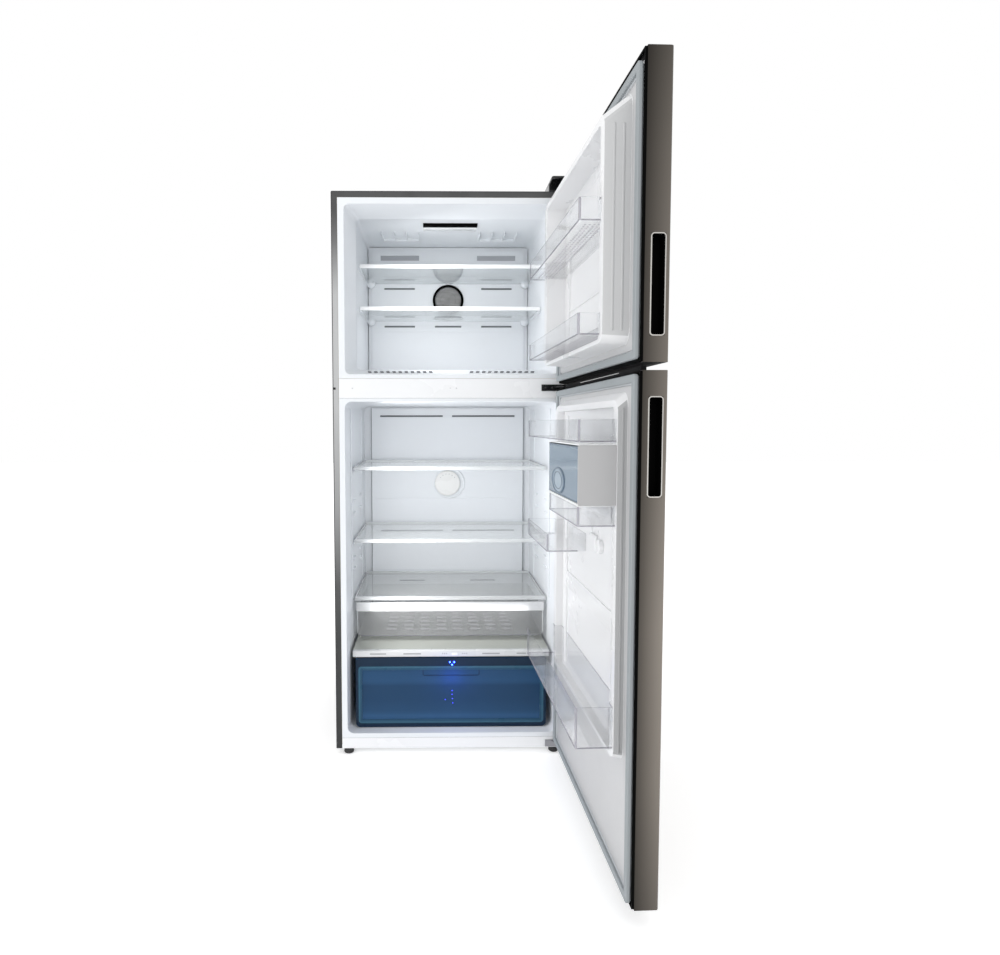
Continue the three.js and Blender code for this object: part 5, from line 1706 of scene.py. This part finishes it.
@dataclass(frozen=True)
class DoorBin:
    """A clear bin that sits between the ring's sides and widens towards the food."""

    node: str
    door: str
    back: float = -7.7
    neck: float = 12.3
    inner: float = 261.4
    wall: float = 2.2
    corner: float = 4.5
    notch: Pair | None = None
    dots: int = 0

    def outline(self, span: Span) -> tuple[list[Pair], dict[int, float]]:
        """Gives the bin's outline seen from above, and its rounded corners.

        Args:
            span: the bin's spans.

        Returns:
            The corners, and the radius of each rounded one.
        """
        left, right = max(span.x[0], -self.inner), min(span.x[1], self.inner)
        front = span.y[1]
        points = [(left, self.back), (right, self.back)]
        if right < span.x[1]:
            points += [(right, self.neck), (span.x[1], self.neck)]
        points += [(span.x[1], front), (span.x[0], front)]
        rounds = {len(points) - 2: self.corner, len(points) - 1: self.corner}
        if left > span.x[0]:
            points += [(span.x[0], self.neck), (left, self.neck)]
        return points, rounds

    def build(self) -> None:
        """Builds the bin."""
        axes = SHUT[self.door]
        span = measured(self.node, axes)
        low, top = span.z
        points, rounds = self.outline(span)
        tub = hollowed(prism(Axis.Z, points, (low, top), rounds), UP, self.wall, self.wall)
        tub.normal_update()
        if self.notch:
            self.dip(tub, span)
        for face in tub.faces:
            # the rim and the front corners take the dark edge tint, as painted shade
            middle = face.calc_center_median()
            rim = middle.z > top - 0.5
            at_end = min(abs(middle.x - end) for end in span.x) < self.corner
            at_corner = at_end and middle.y > span.y[1] - self.corner
            face.material_index = int(rim or (at_corner and abs(face.normal.z) < 0.5))
        piece = Piece(f"{self.node}_tub", axes)
        piece.add(tub, 0.7, paint=-1)
        self.add_edges(piece, span)
        if self.dots:
            self.add_dots(piece, span)
        piece.place(self.door + "_door", [CLEAR, CLEAR_EDGE_PAINTED_SHADE, DOT_GREY], (self.node,))

    def dip(self, tub: bmesh.types.BMesh, span: Span) -> None:
        """Lowers part of the front's rim.

        Args:
            tub: the bin.
            span: the bin's spans.
        """
        start, drop = self.notch
        geom = list(tub.verts) + list(tub.edges) + list(tub.faces)
        bmesh.ops.bisect_plane(tub, geom=geom, dist=WELD, plane_co=(start, 0, 0), plane_no=(1, 0, 0))
        for vert in tub.verts:
            near = vert.co.y > span.y[1] - self.corner - 3 and start + 0.01 < vert.co.x
            if near and vert.co.z > span.z[1] - 1:
                vert.co.z -= drop

    def add_edges(self, piece: Piece, span: Span) -> None:
        """Adds the thick lines along the bin's lower ends, painted with the dark edge tint as painted
        shade.

        Args:
            piece: the piece to add to.
            span: the bin's spans.
        """
        low = span.z[0]
        front = span.y[1]
        thick = 2.4
        for x in (span.x[0], span.x[1] - thick):
            end = block((x, x + thick), (self.neck + 1, front - self.corner), (low, low + 2.6))
            piece.add(end, 0.7, paint=1)
        across = (span.x[0] + self.corner, span.x[1] - self.corner)
        piece.add(block(across, (front - thick, front), (low, low + thick)), 0.7, paint=1)

    def add_dots(self, piece: Piece, span: Span) -> None:
        """Adds the small raised dots under the bin.

        Args:
            piece: the piece to add to.
            span: the bin's spans.
        """
        pitch = (span.x[1] - span.x[0] - 60) / (self.dots - 1)
        spots = [(pitch * i, 9 * j, 0) for i in range(self.dots) for j in range(5)]
        piece.add(rod(Axis.Z, (span.x[0] + 30, 34, span.z[0] - 0.5), 2.3, 1.2, 6), paint=2, at=spots)


@dataclass(frozen=True)
class ChillBox:
    """The closed box on the fridge door, with its tinted lid and the oval dial on it."""

    back: float = -7.7
    neck: float = 12.3
    front: float = 90.0
    inner: float = 261.4
    wall: float = 2.5
    sill_top: float = 843.0
    lid: Pair = (845.0, 956.0)
    hinge: Pair = (86.0, 953.5)
    dial_at: Pair = (-109.0, 876.0)
    dial_half: float = 29.5
    dial_stretch: float = 2.1

    def build(self) -> None:
        """Builds the box and its lid."""
        axes = SHUT["fridge"]
        span = measured("chill_box", axes)
        x0, x1 = span.x
        z0, z1 = span.z
        back, neck, front, wall = self.back, self.neck, self.front, self.wall
        box = Piece("cool_box", axes)
        # the box's two ends are painted grey, as painted shade on its white
        box.add(block((x0, x0 + wall), (neck, front), (z0, z1)), 0.9)
        box.add(block((x1 - wall, x1), (back, front), (z0, z1)), 0.9)
        for low in (z0, z1 - wall):
            box.add(block((-self.inner, x1), (back, front), (low, low + wall)), 0.6, paint=1)
            box.add(block((x0, -self.inner), (neck, front), (low, low + wall)), 0.6, paint=1)
        box.add(block((x0, x1), (front - wall, front), (z0, self.sill_top)), 0.8, paint=1)
        box.place("fridge_door", [BOX_PAINTED_SHADE, TRIM_WHITE], ("chill_box",))
        self.build_lid(axes)

    def build_lid(self, axes: Matrix) -> None:
        """Builds the lid.

        Args:
            axes: the door's axes.
        """
        span = measured("chill_box_lid", axes)
        lid = Piece("cool_box_lid", axes)
        front = self.front
        low, high = self.lid
        lid.add(block(span.x, (front - 3, front), self.lid), 0.9)
        lid.add(rod(Axis.X, (span.x[0], *self.hinge), 4.1, span.x[1] - span.x[0], 24), paint=0)
        half = self.dial_half
        ring = [
            (half - 4.5, -0.6), (half, -0.6), (half, 1.6), (half - 1.2, 2.4), (half - 3.3, 2.4),
            (half - 4.5, 1.6),
        ]
        inner = [(half - 11.5, -0.6), (half - 9.5, -0.6), (half - 9.5, 1.8), (half - 11.5, 1.8)]
        face = [(0, -0.6), (half - 4.3, -0.6), (half - 4.3, 1.0), (0, 1.0)]
        for profile, paint in ((ring, 1), (inner, 1), (face, 2)):
            oval = turned(Axis.Y, (0, front, 0), profile, 64)
            bmesh.ops.scale(oval, vec=(self.dial_stretch, 1, 1), verts=list(oval.verts))
            lid.add(oval, 0.3, paint=paint, at=[(self.dial_at[0], 0, self.dial_at[1])])
        for edge in ((low, low + 2.4), (high - 2.4, high)):
            lid.add(block(span.x, (front - 0.6, front + 0.4), edge), 0.3, paint=1)
        lid.place("chill_box_lid", [TINTED, TINTED_EDGE, TINTED_DIAL], ("chill_box_lid",))


# ---- the studio ----


@dataclass(frozen=True)
class Studio:
    """The pale floor, the white surround, the soft lights and the camera."""

    floor: float = 30.0
    white: float = 1.0
    lens: float = 23.896
    shift: Pair = (0.05964, -0.01536)
    camera: Point = (-0.07706, -1.92265, 1.00349)
    yaw: float = 0.7414
    pitch: float = 3.3302
    roll: float = 0.0682
    glow_colour: Point = (0.05, 0.12, 1.0)
    glow_power: float = 0.11
    glow_radius: float = 0.03
    glow_at: Point = (-0.016, 0.006, 0.222)  # across, past the depth of the drawer's front, and up

    def build(self) -> None:
        """Builds the studio."""
        self.build_floor()
        self.build_world()
        self.build_camera()
        self.area("key", (-2.9, -2.6, 1.9), (0.1, 0.1, 1.0), (1.6, 1.6), 24)
        self.area("freezer_glow", (-0.1, 0.06, 1.36), (0.08, 0.5, 1.32), (0.2, 0.26), 0.74)
        self.area("fridge_glow", (-0.24, 0.06, 0.73), (0.3, 0.36, 0.71), (0.08, 0.6), 1.7)
        self.area("tray_glow", (-0.02, 0.16, 0.395), (-0.02, 0.36, 0.33), (0.5, 0.05), 0.13)
        self.spot_glow()
        bpy.context.scene.view_settings.view_transform = "Standard"
        bpy.context.scene.view_settings.look = "None"
        LOG.info("the studio is lit")

    def build_floor(self) -> None:
        """Builds the floor."""
        bm = bmesh.new()
        bmesh.ops.create_grid(bm, x_segments=1, y_segments=1, size=self.floor / 2)
        mesh = bpy.data.meshes.new("studio_floor")
        bm.to_mesh(mesh)
        bm.free()
        mesh.materials.append(FLOOR.material())
        plane = bpy.data.objects.new("studio_floor", mesh)
        bpy.context.scene.collection.objects.link(plane)

    def build_world(self) -> None:
        """Builds the even white surround."""
        world = bpy.data.worlds.new("studio")
        world.use_nodes = True
        back = world.node_tree.nodes["Background"]
        back.inputs["Color"].default_value = (1, 1, 1, 1)
        back.inputs["Strength"].default_value = self.white
        bpy.context.scene.world = world

    def build_camera(self) -> None:
        """Builds the camera, in front of the open doors."""
        yaw, pitch, roll = (math.radians(a) for a in (self.yaw, self.pitch, self.roll))
        ahead = Vector((math.sin(yaw) * math.cos(pitch), math.cos(yaw) * math.cos(pitch), -math.sin(pitch)))
        right = Vector((math.cos(yaw), -math.sin(yaw), 0))
        down = ahead.cross(right)
        across = right * math.cos(roll) + down * math.sin(roll)
        fall = down * math.cos(roll) - right * math.sin(roll)
        data = bpy.data.cameras.new("view")
        data.lens = self.lens
        data.sensor_width = 36
        data.shift_x, data.shift_y = self.shift
        camera = bpy.data.objects.new("view", data)
        turn = Matrix((across, -fall, -ahead)).transposed()
        camera.matrix_world = Matrix.Translation(self.camera) @ turn.to_4x4()
        bpy.context.scene.collection.objects.link(camera)
        bpy.context.scene.camera = camera

    def area(self, name: str, place: Point, target: Point, size: Pair, power: float) -> None:
        """Adds a soft light.

        Args:
            name: the light's name.
            place: where it stands.
            target: the point that it faces.
            size: its two sides.
            power: its strength in watts.
        """
        data = bpy.data.lights.new(name, "AREA")
        data.shape = "RECTANGLE"
        data.size, data.size_y = size
        data.energy = power
        light = bpy.data.objects.new(name, data)
        light.location = place
        light.rotation_euler = (Vector(target) - Vector(place)).to_track_quat("-Z", "Y").to_euler()
        light.visible_camera = False
        light.visible_glossy = name == "key"
        bpy.context.scene.collection.objects.link(light)

    def spot_glow(self) -> None:
        """Adds the small blue light in front of the crisper drawer."""
        data = bpy.data.lights.new("crisper_glow", "POINT")
        data.color = self.glow_colour
        data.energy = self.glow_power
        data.shadow_soft_size = self.glow_radius
        light = bpy.data.objects.new("crisper_glow", data)
        across, ahead, up = self.glow_at
        light.location = (across, measured("crisper_drawer", CABINET).y[0] * MM + ahead, up)
        light.visible_camera = False
        bpy.context.scene.collection.objects.link(light)


FREEZER_LEAF = Leaf(
    "freezer", RING_PAINTED_SHADE, (1118.5, 1695), (1125, 1672), (1168, 1357), (1160, 1645), (1163, 1604), 46,
    ((8.0, 22.0), (27.0, 22.0)),
)
FRIDGE_LEAF = Leaf(
    "fridge", RING_PAINTED_DEEP_SHADE, (44, 1103.6), (52, 1097), (863, 1054), (312, 1066), (315, 1050), 12, ((2.0, 16.0),),
)
BINS = (
    DoorBin("freezer_door_bin_upper", "freezer", neck=46.3, dots=34),
    DoorBin("freezer_door_bin_lower", "freezer", neck=46.3, dots=34),
    DoorBin("door_bin_top", "fridge"),
    DoorBin("door_bin_under_box", "fridge"),
    DoorBin("door_bin_half", "fridge"),
    DoorBin("door_bin_bottom", "fridge", notch=(-20, 12)),
)


def main() -> None:
    """Builds the refrigerator and its studio, piece by piece."""
    logging.basicConfig(level=logging.INFO, format="%(name)s: %(message)s")
    parts = [
        CaseShell(), RearPanels(), FrontTrims(), Hinges(), Machinery(),
        FrontFoot("left"), FrontFoot("right"), FreezerRoom(), FridgeRoom(),
        ChillerTray(), CrisperLid(), Crisper(),
        DoorBuild(FREEZER_LEAF), DoorBuild(FRIDGE_LEAF), *BINS, ChillBox(), Studio(),
    ]
    for part in parts:
        part.build()


if __name__ == "__main__":
    main()
